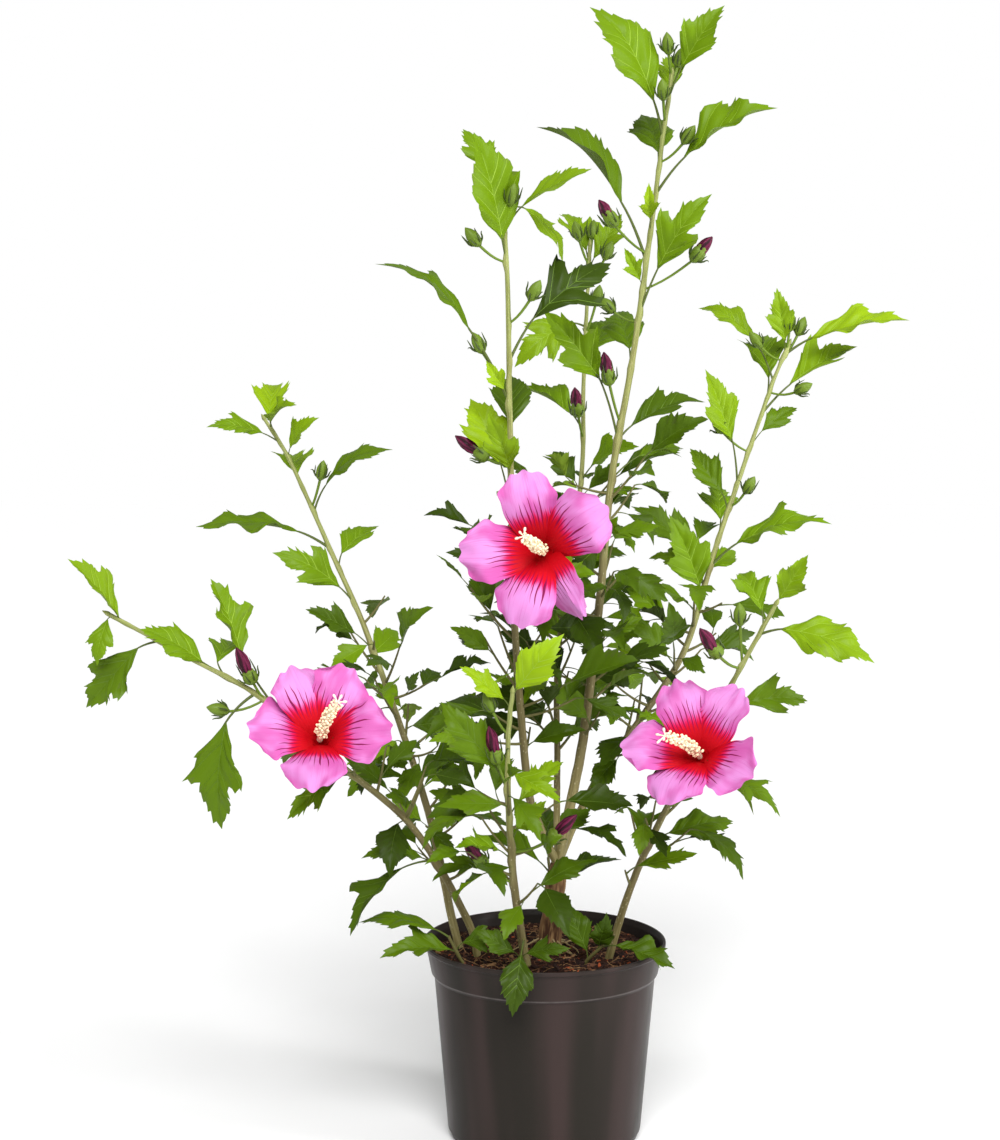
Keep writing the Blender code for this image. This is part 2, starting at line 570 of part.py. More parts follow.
def cane_stretch(cane, start, end):
    """Centre line and radii of the cane between two shares of its length, a point every RING_STEP or so."""
    shares = np.linspace(start, end, 3 + int((end - start) * RUNS[cane] / RING_STEP))
    return np.array([cane_place(cane, s)[0] for s in shares]), [cane_radius(cane, s) for s in shares]


def leaf_solid(leaf, planned):
    """Stalk and blade as one skin: diamond rings from the stalk's root to the last vein, then the tip."""
    picks = PLANNED_VEINS if planned else SMALL_VEINS
    u = np.array([LEAF_STATIONS[i] for i in picks])
    reach = np.array([LEAF_REACH[i] for i in picks])
    reach[0] = STALK_RADIUS / leaf.length
    sweep = np.array([LEAF_SWEEP[i] for i in picks])
    thick = np.full(len(u), LEAF_THICK * leaf.length / 2)
    thick[0] = STALK_RADIUS
    middle = leaf.surface(u, 0 * u, reach, sweep)
    lift = thick[:, None] * leaf.normal
    blade = np.stack([leaf.surface(u, 0 * u + 1, reach, sweep), middle + lift,
                      leaf.surface(u, 0 * u - 1, reach, sweep), middle - lift], axis=1)
    diamond = STALK_RADIUS * np.array([leaf.side, leaf.normal, -leaf.side, -leaf.normal])
    stalk = [leaf.root + diamond] + ([leaf.knee + diamond] if planned and leaf.stalk > LONG_STALK else [])
    one, nought = np.ones(1), np.zeros(1)
    return loft("leaf", stalk + list(blade), leaf.surface(one, nought, nought, nought)[0])


def bud_solid(bud):
    """Stalk and bud as one skin of four-sided rings, pointed at the end."""
    line = [bud.root] + [bud.neck + share * (bud.end - bud.neck) for share, _ in BUD_RINGS]
    radii = [STALK_RADIUS] + [STALK_RADIUS + radius * bud.size * MM for _, radius in BUD_RINGS]
    rings = tube_rings(np.array(line), radii, 4)
    return loft("bud", rings[:-1], bud.end)


def shoot_solid(shoot):
    """Three-sided twig that thins to its end."""
    line = np.vstack([shoot.line[:-1:2], shoot.line[-1:]])
    return loft("shoot", tube_rings(line, np.linspace(1.5, 1.0, len(line)) * MM, 3))


def petal_solid(bloom, bearing):
    """Lens of two skins that share their edge points: their middles stand half the thickness off."""
    t, v = np.meshgrid(PETAL_STATIONS, np.linspace(-1, 1, 5), indexing="ij")
    face = bloom.petal(bearing, t, v)
    inner = np.zeros(t.shape, bool)
    inner[1:-1, 1:-1] = True
    half = PETAL_THICK / 2 * bloom.axis
    bm = bmesh.new()
    tops = [[bm.verts.new(p + half * f) for p, f in zip(row, flags)] for row, flags in zip(face, inner)]
    lows = [[bm.verts.new(p - half) if f else top for p, f, top in zip(row, flags, line)]
            for row, flags, line in zip(face, inner, tops)]
    for skin in (tops, lows):
        for k, (low, high) in enumerate(zip(skin, skin[1:])):
            for i in range(len(low) - 1):
                a, b, c, d = low[i], low[i + 1], high[i + 1], high[i]
                inward = (k < 2) == (i < 2)
                for corners in ((a, b, c), (a, c, d)) if inward else ((a, b, d), (b, c, d)):
                    bm.faces.new(corners)
    return solid("petal", bm)


def column_solid(bloom):
    """The staminal column: a five-sided spindle from inside the cup to its leaning end."""
    line = bloom.column(np.array([share for share, _ in COLUMN_RINGS]))
    line[0] -= 0.5 * CUP_DEPTH * bloom.axis
    radii = [radius * MM for _, radius in COLUMN_RINGS]
    return loft("column", tube_rings(line, radii, 5))


def stalk_solid(bloom):
    """The bloom's stalk, which swells into the cup that holds the petals."""
    cup = [bloom.cup - share * CUP_DEPTH * bloom.axis for share in (0.55, -0.25)]
    square_cut = [bloom.stalk[0], bloom.stalk[0] + 2 * MM * bloom.away]
    stalk = bloom.stalk[4:-1:4]
    line = np.vstack([square_cut, stalk, cup])
    radii = [1.5 * MM] * (2 + len(stalk)) + [7 * MM, 8 * MM]
    return loft("stalk", tube_rings(line, radii, 6))


def fused(name, body, pieces, look):
    """The body and the pieces joined by one Boolean union over a collection; scraps and sealed hollows go."""
    group = bpy.data.collections.new("pieces")
    bpy.context.scene.collection.children.link(group)
    for piece in pieces:
        bpy.context.scene.collection.objects.unlink(piece)
        group.objects.link(piece)
    join = body.modifiers.new("join", "BOOLEAN")
    join.operation, join.operand_type, join.collection = "UNION", "COLLECTION", group
    for solver in ("EXACT", "MANIFOLD"):
        join.solver = solver
        mesh = bpy.data.meshes.new_from_object(body.evaluated_get(bpy.context.evaluated_depsgraph_get()))
        if keep_main_island(mesh):
            break
    body.modifiers.clear()
    body.data = mesh
    for piece in pieces:
        bpy.data.objects.remove(piece)
    bpy.data.collections.remove(group)
    return finish(name, body, look)


def keep_main_island(mesh):
    """Deletes all but the island with the most faces. True where what is left is closed."""
    bm = bmesh.new()
    bm.from_mesh(mesh)
    islands, seen = [], set()
    for face in bm.faces:
        if face in seen:
            continue
        island, edge = [], [face]
        seen.add(face)
        while edge:
            current = edge.pop()
            island.append(current)
            for other in (f for e in current.edges for f in e.link_faces if f not in seen):
                seen.add(other)
                edge.append(other)
        islands.append(island)
    main = max(islands, key=len)
    scraps = [face for island in islands if island is not main for face in island]
    bmesh.ops.delete(bm, geom=scraps, context="FACES")
    bmesh.ops.triangulate(bm, faces=bm.faces)
    closed = all(len(e.link_faces) == 2 for e in bm.edges)
    bm.to_mesh(mesh)
    bm.free()
    return closed


def finish(name, made, look):
    """Names the object, gives it a material of its own and shades it smooth up to sharp edges."""
    made.name = name
    made.data.materials.clear()
    made.data.materials.append(material(name, *look))
    made.data.shade_smooth()
    made.data.set_sharp_from_angle(angle=radians(40))
    return made


# ---------------------------------------------------------------- sub-parts
def turned(name, profile, sides):
    """Profile of (radius, height) turned about the Z axis; a radius of nought closes at a pole."""
    angle = 2 * pi * np.arange(sides) / sides
    bm = bmesh.new()
    rows = [[bm.verts.new((0, 0, z))] * sides if r == 0 else
            [bm.verts.new((r * cos(a), r * sin(a), z)) for a in angle] for r, z in profile]
    for low, high in zip(rows, rows[1:]):
        for i in range(sides):
            j = (i + 1) % sides
            corners = list(dict.fromkeys((low[i], low[j], high[j], high[i])))
            bm.faces.new(corners)
    return solid(name, bm)


def build_pot(look):
    """Tapered pot with a deep rim band, an everted lip and notches round its foot."""
    inner_top, inner_foot = WALL_TOP_RADIUS - POT_WALL, WALL_FOOT_RADIUS - POT_WALL
    profile = (
        (0, 0), (WALL_FOOT_RADIUS - 3 * MM, 0), (WALL_FOOT_RADIUS, 4 * MM),
        (WALL_TOP_RADIUS, BAND_FOOT - 4 * MM), (WALL_TOP_RADIUS + 2.2 * MM, BAND_FOOT),
        (RIM_RADIUS - 2.6 * MM, POT_HEIGHT - 4 * MM), (RIM_RADIUS, POT_HEIGHT - 2 * MM),
        (RIM_RADIUS, POT_HEIGHT), (RIM_RADIUS - 2 * MM, POT_HEIGHT),
        (RIM_RADIUS - 4.2 * MM, POT_HEIGHT - 4 * MM),
        (WALL_TOP_RADIUS + 0.6 * MM, BAND_FOOT + 1 * MM), (inner_top, BAND_FOOT - 3 * MM),
        (inner_foot, POT_FLOOR), (0, POT_FLOOR),
    )
    pot = turned("pot", profile, POT_SIDES)
    for i in range(NOTCHES):
        bpy.ops.mesh.primitive_cube_add(size=1)
        cutter = bpy.context.object
        angle = 2 * pi * (i + 0.5) / NOTCHES
        cutter.scale = NOTCH
        cutter.location = (WALL_FOOT_RADIUS * cos(angle), WALL_FOOT_RADIUS * sin(angle), 0)
        cutter.rotation_euler = (0, 0, angle)
        cut = pot.modifiers.new("notch", "BOOLEAN")
        cut.operation, cut.object = "DIFFERENCE", cutter
        bpy.context.view_layer.update()
        pot.data = bpy.data.meshes.new_from_object(pot.evaluated_get(bpy.context.evaluated_depsgraph_get()))
        pot.modifiers.clear()
        bpy.data.objects.remove(cutter)
    return finish("pot", pot, look)


def build_soil(look):
    """Compost that fills the pot to below its rim, clear of the wall and the floor."""
    gap = CLEARANCE / cos(pi / POT_SIDES)
    foot, top = WALL_FOOT_RADIUS - POT_WALL, WALL_TOP_RADIUS - POT_WALL
    profile = ((0, POT_FLOOR + CLEARANCE), (foot - gap, POT_FLOOR + CLEARANCE),
               (top - gap, BAND_FOOT - 3 * MM), (WALL_TOP_RADIUS + 0.6 * MM - gap, BAND_FOOT + 1.6 * MM),
               (WALL_TOP_RADIUS + 0.8 * MM - gap, SOIL_TOP), (0, SOIL_TOP))
    return finish("soil", turned("soil", profile, POT_SIDES), look)


def build_trunk(look):
    """Woody base from its flared foot to the fork, with the root of each forked cane fused on."""
    heights = np.array([z for z, _ in TRUNK_PROFILE]) * MM
    share = (heights - heights[0]) / (FORK[2] * MM - heights[0])
    start, end = np.array([*TRUNK_FOOT, 0]) * MM, np.array([FORK[0], FORK[1], 0]) * MM
    line = start + share[:, None] * (end - start) + heights[:, None] * np.array([0, 0, 1.0])
    angle = 2 * pi * np.arange(10) / 10
    circle = np.stack([np.cos(angle), np.sin(angle), 0 * angle], axis=1)
    body = loft("trunk", [p + r * MM * circle for p, (_, r) in zip(line, TRUNK_PROFILE)])
    stubs = []
    for cane in FORK_CANES:
        end = FORK_STUB * MM / RUNS[cane]
        middle, radii = cane_stretch(cane, 0, end)
        stubs.append(loft("stub", tube_rings(middle, radii, 6)))
    return fused("trunk", body, stubs, look)


def build_boughs(look):
    """The bare foot of each cane, cut flat at the compost or at the trunk, and at its first mass."""
    for cane in GROUND_CANES + FORK_CANES:
        forked = cane in FORK_CANES
        start = (FORK_STUB * MM + CLEARANCE) / RUNS[cane] if forked else 0
        middle, radii = cane_stretch(cane, start, MASSES[cane][0][0])
        rings = tube_rings(middle, radii, 6)
        if not forked:
            rings[0][:, 2] = SOIL_TOP + CLEARANCE
        finish(cane + "_bough", loft(cane + "_bough", rings), look)


def build_masses(grown, look):
    """Each mass: its stretch of the cane with the leaves, buds and shoots that grow from it."""
    for cane, parts in MASSES.items():
        for start, end, name in parts:
            low = start + (CLEARANCE / RUNS[cane] if start else 0)
            middle, radii = cane_stretch(cane, low, end)
            rings = tube_rings(middle, radii, 5)
            if cane in FOOT_CANES:
                rings[0][:, 2] = SOIL_TOP + CLEARANCE
            stem = loft(name, rings)
            pieces = [solid_of(piece) for piece in grown[name]]
            fused(name, stem, pieces, look)


def solid_of(piece):
    """The solid of a leaf, bud or shoot."""
    if isinstance(piece, Leaf):
        return leaf_solid(piece, piece.planned)
    return bud_solid(piece) if isinstance(piece, Bud) else shoot_solid(piece)


def build_blooms(blooms, look):
    """Each bloom: its stalk and cup with the petals and the column fused on."""
    for name, bloom in blooms.items():
        petals = [petal_solid(bloom, bearing) for bearing in bloom.bearings]
        fused(name, stalk_solid(bloom), petals + [column_solid(bloom)], look)


def main():
    for old in list(bpy.data.objects):
        bpy.data.objects.remove(old)
    build_pot(PLASTIC)
    build_soil(COMPOST)
    build_trunk(BARK)
    build_boughs(BARK)
    grown, blooms, _ = grow()
    build_masses(grown, FOLIAGE)
    build_blooms(blooms, PETALS)


main()
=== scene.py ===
"""Looks of a potted hibiscus shrub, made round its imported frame, in metres, +Z up.

The canes, leaves, buds and blooms grow by the plan and the rule of the solids, and then on to finer twigs in the
same space. Every shape is a grid of points worked out as whole arrays; leaves and petals are thin closed skins,
bracts, stalks and ribs are tubes. The colours of leaves are plain and dealt out leaf by leaf."""
import json
from math import cos, pi, radians, sin

import bpy
import numpy as np
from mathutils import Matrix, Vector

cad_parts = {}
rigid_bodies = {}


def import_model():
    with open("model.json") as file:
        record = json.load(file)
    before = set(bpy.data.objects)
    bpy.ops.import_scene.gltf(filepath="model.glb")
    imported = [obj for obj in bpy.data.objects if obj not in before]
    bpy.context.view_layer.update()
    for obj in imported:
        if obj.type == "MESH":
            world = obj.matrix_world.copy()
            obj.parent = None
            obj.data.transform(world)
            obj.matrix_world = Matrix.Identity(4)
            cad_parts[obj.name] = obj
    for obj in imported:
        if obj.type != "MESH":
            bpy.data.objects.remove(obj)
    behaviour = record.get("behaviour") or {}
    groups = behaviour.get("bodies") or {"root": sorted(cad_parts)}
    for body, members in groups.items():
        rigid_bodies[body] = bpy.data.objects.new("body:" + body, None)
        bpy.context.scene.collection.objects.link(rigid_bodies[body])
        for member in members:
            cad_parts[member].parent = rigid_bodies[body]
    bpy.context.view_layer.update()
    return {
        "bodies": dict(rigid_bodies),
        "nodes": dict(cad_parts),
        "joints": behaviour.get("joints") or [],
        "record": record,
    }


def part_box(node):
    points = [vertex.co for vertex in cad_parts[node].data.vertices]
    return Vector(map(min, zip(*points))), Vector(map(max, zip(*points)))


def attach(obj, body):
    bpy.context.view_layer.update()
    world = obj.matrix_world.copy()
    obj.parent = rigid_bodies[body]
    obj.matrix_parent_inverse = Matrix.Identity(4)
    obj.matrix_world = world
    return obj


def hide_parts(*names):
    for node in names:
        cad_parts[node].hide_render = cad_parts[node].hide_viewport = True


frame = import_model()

MM = 0.001
SEED = 11

# Pot and compost
RIM_RADIUS = 95 * MM
POT_HEIGHT = 155 * MM
POT_WALL = 1.6 * MM
POT_FLOOR = 3 * MM
BAND_FOOT = 131 * MM        # height of the rim band's lower edge
PAINTED_HIGHLIGHT_HEIGHT = 130.6 * MM    # height of a painted highlight: a pale line of colour just below that edge
WALL_TOP_RADIUS = 86.6 * MM
WALL_FOOT_RADIUS = 76 * MM
SOIL_TOP = 145.7 * MM
CLEARANCE = 0.3 * MM        # between pieces that touch on the real plant
POT_SIDES = 144
NOTCHES, NOTCH_WIDTH, NOTCH_HEIGHT = 6, 16 * MM, 2.4 * MM    # in the pot's foot ring

# Trunk: height and radius in mm from the compost up to the fork
TRUNK_PROFILE = ((140, 14), (146, 12), (150, 10.4), (157, 8.9), (175, 8.2), (203, 8.0), (213, 6.6), (220, 3.6))
TRUNK_FOOT = (3, 0)         # mm; the trunk leans from here to the fork

# Growth
ROUTE_STEPS = 200
SHOOT_STEPS = 6
SHOOT_BOW = 0.22            # how far a side shoot lifts, as a share of its length
SHOOT_LENGTH = (26, 46)     # mm
SHOOT_LEAVES = (0.5, 1.0)
SHOOT_LEAF_LENGTH = (34, 56)
GOLDEN = 137.5              # degrees from one side shoot to the next
STALK_LIFT = 0.7            # how much a stalk follows the cane before it turns out
STALK_BOW = 0.06
STALK_STEPS = 18            # of a bloom's stalk
SHOOT_TRIES, SHOOT_TURN = 6, 55     # bearings tried for a side shoot, and degrees from one to the next
PLANNED_GAP, OWN_GAP = 3 * MM, 0.0
SEEDED_GAP, SEEDED_OWN_GAP = 6 * MM, 5 * MM
PLANNED_SWAY = ((0.25, 0.6), (12, 28), (-0.35, 0.35))   # ranges of a leaf's bend, fold in degrees and twist
TWIGLET_SWAY = ((0.2, 0.7), (10, 32), (-0.5, 0.5))

# Leaf: a vein's start along the midrib, its reach outwards and how far it sweeps forwards per reach
LEAF_STATIONS = (0, 0.08, 0.20, 0.34, 0.46, 0.66, 1.0)
LEAF_REACH = (0.014, 0.14, 0.34, 0.19, 0.20, 0.10, 0.0)
LEAF_SWEEP = (0, 0.6, 0.85, 0.85, 0.85, 0.7, 0.0)

# Bud and bloom
BUD_LENGTH = 18 * MM
CUP_DEPTH = 10 * MM
PETAL_ROOT = 4              # mm from the cup's middle
PETAL_ROUND = 9             # mm that a petal's corners are cut back
PETAL_DIP = -2              # mm
PETAL_TILT = 0.16           # rise of a petal's leading edge per mm of width
PETAL_CLAW = 0.34           # width at the root, as a share of the widest
PETAL_WIDEST = 0.66         # where a petal is widest, from root to end
PETAL_NARROWING = 0.34      # how much less wide its end is
COLUMN_LENGTH = 42 * MM

# Finer growth: canes that bear more twiglets, the first and last share, how many, and the first one's bearing
TWIGLETS = {
    "left_arch": (0.15, 0.56, 6, 30), "left": (0.14, 0.60, 11, 120), "front": (0.20, 0.66, 7, 300),
    "low_right": (0.20, 0.62, 9, 200), "inner_left": (0.16, 0.46, 10, 80), "middle": (0.16, 0.60, 12, 10),
    "tall": (0.16, 0.48, 11, 250), "right": (0.16, 0.56, 11, 160),
}
TWIGLET_LENGTH = (22, 48)   # mm
TWIGLET_LEAF_LENGTH = (26, 50)
TWIGLET_LEAVES = (0.35, 0.68, 1.0)
TWIGLET_TRIES, TWIGLET_TURN = 7, 50
TWIGLET_GAP, TWIGLET_OWN_GAP = 2.5 * MM, 2 * MM
REACH_MARGIN = 6 * MM       # that finer growth may stand proud of its mass's box

# Leaf skin. A row is a vein: where it leaves the midrib, then where it ends, along and out, on a lobed leaf and
# on a broad one, as shares of the blade's length.
MARGIN = (
    (0, 0, 0.012, 0, 0.012), (0.01, 0.1, 0.065, 0.09, 0.08), (0.03, 0.2, 0.14, 0.18, 0.17),
    (0.05, 0.29, 0.205, 0.26, 0.24), (0.07, 0.35, 0.253, 0.32, 0.294), (0.09, 0.36, 0.246, 0.34, 0.29),
    (0.11, 0.41, 0.285, 0.39, 0.318), (0.13, 0.455, 0.323, 0.44, 0.338), (0.15, 0.46, 0.31, 0.45, 0.329),
    (0.17, 0.52, 0.345, 0.49, 0.335), (0.19, 0.59, 0.375, 0.54, 0.335), (0.22, 0.565, 0.329, 0.54, 0.316),
    (0.25, 0.615, 0.289, 0.6, 0.304), (0.29, 0.575, 0.225, 0.595, 0.27), (0.33, 0.555, 0.155, 0.63, 0.271),
    (0.37, 0.6, 0.155, 0.665, 0.272), (0.41, 0.665, 0.185, 0.7, 0.261), (0.45, 0.66, 0.16, 0.69, 0.23),
    (0.49, 0.71, 0.178, 0.73, 0.218), (0.53, 0.765, 0.193, 0.775, 0.207), (0.57, 0.75, 0.153, 0.76, 0.171),
    (0.61, 0.79, 0.145, 0.8, 0.155), (0.66, 0.845, 0.133, 0.85, 0.14), (0.71, 0.83, 0.098, 0.84, 0.103),
    (0.76, 0.875, 0.085, 0.88, 0.09), (0.81, 0.915, 0.069, 0.915, 0.072), (0.88, 0.925, 0.04, 0.925, 0.042),
    (1.0, 1.0, 0, 1.0, 0),
)
TIP_ROWS = (4, 7, 10, 12, 16, 19, 22, 25)   # teeth; the tenth row is the side lobe's end
VEIN_ROWS = (0, 4, 10, 16, 19, 22, 27)      # the blade puffs up between these
RIB_ROWS = (10, 16, 19)
PLAIN_ROWS = (0, 2, 4, 5, 7, 8, 10, 11, 12, 14, 16, 17, 19, 20, 22, 23, 25, 27)
FINE_COLUMNS = (-1, -0.8, -0.5, -0.22, 0, 0.22, 0.5, 0.8, 1)
PLAIN_COLUMNS = (-1, -0.5, 0, 0.5, 1)
BLADE_THICK = 0.45 * MM
RIB_RADIUS = 0.34 * MM
PUFF = 0.022                # lift of the blade between its veins, as a share of its length
LEAF_BREADTH = 0.97
TWISTED_NARROWER = 0.5      # breadth lost per radian of a leaf's twist
LOBED, LOBED_UNEVEN = (0.05, 1.15), 0.15    # range of a leaf's lobes, and how far its halves differ
TEETH_VARY = 0.08
CURL, LOPSIDED = (-0.40, 0.25), 0.10        # lift at the margin, alike on both halves and opposed
WAVES, WAVE_HEIGHT = (1.6, 3.2), (0.018, 0.065)
HOOK = 0.75                 # most that a tip hooks down
SIDEWAYS = 0.14             # most that a leaf bends to one side
LEAF_SCALE = 62 * MM        # blade length at which stalk and ribs have their named radii

# Canes, buds and blooms
CANE_STEP = 3.5 * MM        # between a cane's rings
CANE_SIDES = 14
FOOT_CANE_THINNER = 0.72    # than its solid
SCAR_LENGTH = 4.5 * MM      # of the swelling where a leaf stands
SCAR_SWELL = 0.42
TIP_BUD_RADII = (1.2, 1.9, 1.7, 1.0, 0.2)   # mm
TRUNK_SIDES = 28
SURFACE_ROOTS = 9
BRACTS = 7
BUD_GIRTH = 5.0 * MM
BUD_SIDES = 20
BUD_SHARES = (0, 0.06, 0.18, 0.38, 0.58, 0.78, 0.92, 1.0)
BUD_RADII = (0.3, 0.62, 0.88, 1.0, 0.95, 0.66, 0.30, 0.05)
FURL_SHARES = (0.25, 0.5, 0.68, 0.86, 1.0)      # of the furled petals in a ripe bud
FURL_RADII = (0.5, 0.74, 0.72, 0.46, 0.08)
BRACT_RADII = (0.5, 0.7, 0.72, 0.66, 0.58, 0.48, 0.36, 0.12)    # mm
PETAL_ROWS, PETAL_COLUMNS = 33, 27
PETAL_SKIN = 0.5 * MM
PETAL_SPREADS = {           # how wide each petal opens, in the order of its bearings
    "bloom_middle": (0.96, 0.80, 0.90, 0.90, 0.82), "bloom_left": (0.96, 1.0, 1.08, 1.04, 1.06),
    "bloom_right": (0.72, 0.84, 1.0, 1.0, 0.98),
}
EYE_SPREAD = 1.2            # how wide the petals lie over each other round the eye
THROAT = 0.6 / 35           # where a petal starts, just outside the column; never below 0
CUP_SIDES, THROAT_SIDES = 40, 24
CUP_EDGE = 5                # ring of the cup at which the sepals part
CUP_PROFILE = ((-11, 1.6), (-9.5, 4.2), (-7, 6.4), (-4, 7.8), (-1.5, 8.8), (0.6, 10.2), (2.6, 12.6), (4.2, 15.2),
               (5.2, 17.6))     # mm ahead of the petals' root, radius
THROAT_PROFILE = ((-5, 0.8), (-3, 3.2), (-0.5, 5.2), (2.5, 7.0))    # mm ahead of the petals' root, radius
LINES_A_PETAL = 11
PETAL_THREADS = (24, 0.9, 3.1)      # scales of the fine streaks across a petal, along it and from one to the next
CURLED_PETAL = ("bloom_middle", 303)
ANTHERS_FROM = 0.20         # share of the column below its beads
ANTHERS = 104
BEAD_RADII = (0.4, 1.0, 1.2, 1.0, 0.4)      # mm
STYLE_ARMS = 5
ARM_RADII = (0.65, 0.55, 0.5, 0.5, 0.6, 1.05, 0.7)  # mm
COMPOST_SIDES, COMPOST_RINGS = 180, 60
CHIPS, FIBRES = 1500, 230
LITTER_REACH, LITTER_EDGE = 85 * MM, 86.5 * MM  # where a scrap's middle may lie, and any of it

# Looks: linear colours
LEAF_COLOURS = {
    "lime": (0.235, 0.37, 0.005), "bright": (0.172, 0.288, 0.004), "fresh": (0.132, 0.236, 0.003),
    "middling": (0.088, 0.160, 0.003), "deep": (0.054, 0.101, 0.002), "dark": (0.031, 0.058, 0.002),
}
LEAF_PALING = (0.28, 0.36, 0.08)    # that an underside fades towards
LEAF_DEALS = {              # chances of each colour for a tone; "inner" is for what grew by seed; "inner" and "foot" lean dark, partly older leaves, partly painted canopy shade
    2: (0.28, 0.50, 0.22, 0, 0, 0), 1: (0.02, 0.20, 0.40, 0.28, 0.10, 0), 0: (0, 0.05, 0.30, 0.37, 0.24, 0.04),
    "inner": (0, 0.04, 0.15, 0.28, 0.32, 0.21), "foot": (0, 0, 0, 0.24, 0.50, 0.26),
}
HABITS = {                  # of planned leaves, by cane and blade length in mm: tone, and how lobed from 0 to 1
    ("tall", 86): (2, 0.15), ("tall", 56): (2, 0.4), ("tall", 80): (1, 0.2), ("tall", 90): (0, 0.3),
    ("tall", 70): (1, 1.2), ("tall", 72): (0, 0.9), ("inner_left", 80): (1, 0.15),
    ("inner_left", 58): (2, 0.3), ("inner_left", 78): (0, 1.3), ("inner_left", 84): (0, 0.6),
    ("left", 86): (0, 0.2), ("left", 62): (1, 1.0), ("left_arch", 57): (2, 0.5), ("left_arch", 62): (0, 0.7),
    ("left_arch", 54): (2, 0.4), ("left_arch", 80): (0, 0.7), ("right", 82): (2, 0.2),
    ("low_right", 70): (2, 0.15), ("low_right", 52): (1, 1.1), ("front", 54): (2, 0.3),
}

# Stage: camera at the plant's front, a little above its middle
CAMERA_PLACE = (-0.035, -1.8, 0.647)
CAMERA_DIP = 6.35           # degrees below level
CAMERA_LENS = 74.15         # mm on a 36 mm frame whose long side is the render's height
SKY_STRENGTH = 0.42         # of the pale surroundings; to the camera they are white
SUN = 3.22, 34, 48, 2       # strength, then degrees: what it spans, from overhead to the front, to the right
FLOOR_SIZE, FLOOR_DROP = 6.0, 0.5 * MM
LAMPS = (                   # name, watts, width, height, place and aim in metres
    ("strip_right", 13, 0.22, 1.6, (1.15, -0.55, 0.7), (0, 0, 0.2)),
    ("strip_left", 0.2, 0.10, 1.4, (-1.3, -0.8, 0.6), (0, 0, 0.2)),
)

# ---------------------------------------------------------------- growth: canes, leaves, buds and blooms
# Route points are (x, y, z) in mm from the foot to the tip. A cane leaves the soil or the trunk's fork.
FORK = (10, 0, 215)
CANES = {
    "left_arch": [(-52, -14, 141), (-60, -20, 175), (-100, -50, 254), (-154, -80, 310), (-207, -100, 362),
                  (-263, -120, 398), (-315, -130, 429)],
    "left": [(-66, 6, 141), (-73, 8, 170), (-95, 40, 258), (-141, 90, 379), (-171, 120, 442),
             (-210, 150, 522), (-231, 160, 555)],
    "front": [(-14, -40, 141), (-20, -50, 180), (-25, -62, 222), (-29, -85, 286), (-29, -100, 332),
              (-26, -115, 370)],
    "low_right": [(48, -22, 141), (61, -45, 197), (78, -70, 250), (108, -100, 321), (133, -130, 381),
                  (159, -160, 440)],
    "inner_left": [FORK, (-4, -10, 247), (-14, -20, 285), (-24, -50, 411), (-26, -60, 476), (-28, -70, 580),
                   (-31, -80, 693), (-42, -80, 757)],
    "middle": [FORK, (10, 26, 248), (11, 56, 290), (13, 100, 370), (32, 140, 506), (34, 150, 578),
               (37, 170, 638), (40, 180, 699)],
    "tall": [FORK, (20, 4, 262), (31, 10, 320), (43, 20, 421), (52, 30, 514), (68, 35, 607), (80, 40, 692),
             (90, 45, 769), (98, 50, 827)],
    "right": [FORK, (24, 22, 243), (46, 50, 278), (78, 75, 316), (116, 100, 370), (142, 125, 449),
              (160, 140, 498), (190, 160, 580), (206, 170, 617)],
    "foot_front": [(-22, -56, 141), (-20, -65, 156), (-17, -75, 176)],
    "foot_left": [(-60, -36, 141), (-66, -42, 152), (-74, -46, 170)],
    "foot_right": [(28, -34, 141), (34, -42, 152), (44, -48, 164)],
    "foot_back": [(6, 46, 141), (8, 56, 170), (4, 66, 205)],
}
GROUND_CANES = ("left_arch", "left", "front", "low_right")
FORK_CANES = ("inner_left", "middle", "tall", "right")
FOOT_CANES = ("foot_front", "foot_left", "foot_right", "foot_back")
CANE_RADIUS = {"left_arch": 3.2, "left": 3.4, "front": 3.7, "low_right": 3.2, "inner_left": 3.4,
               "middle": 2.8, "tall": 4.2, "right": 3.4}   # mm at the foot
FOOT_CANE_RADIUS = 2.0                      # mm
CANE_TIP_RADIUS = 1.4                       # mm

# Where each cane's bare bough ends, and where its leafy length is parted, as shares of its length.
MASSES = {
    "left_arch": ((0.13, 0.54, "left_arch_low_leaves"), (0.54, 1.0, "left_arch_tip_leaves")),
    "left": ((0.12, 0.50, "left_low_leaves"), (0.50, 1.0, "left_top_leaves")),
    "front": ((0.16, 1.0, "front_leaves"),),
    "low_right": ((0.16, 1.0, "low_right_leaves"),),
    "inner_left": ((0.14, 0.48, "inner_left_low_leaves"), (0.48, 1.0, "inner_left_top_leaves")),
    "middle": ((0.16, 0.52, "middle_low_leaves"), (0.52, 1.0, "middle_top_leaves")),
    "tall": ((0.16, 0.44, "tall_low_leaves"), (0.44, 0.66, "tall_middle_leaves"),
             (0.66, 1.0, "tall_top_leaves")),
    "right": ((0.16, 0.50, "right_low_leaves"), (0.50, 1.0, "right_top_leaves")),
    "foot_front": ((0.0, 1.0, "foot_front_leaves"),),
    "foot_left": ((0.0, 1.0, "foot_left_leaves"),),
    "foot_right": ((0.0, 1.0, "foot_right_leaves"),),
    "foot_back": ((0.0, 1.0, "foot_back_leaves"),),
}

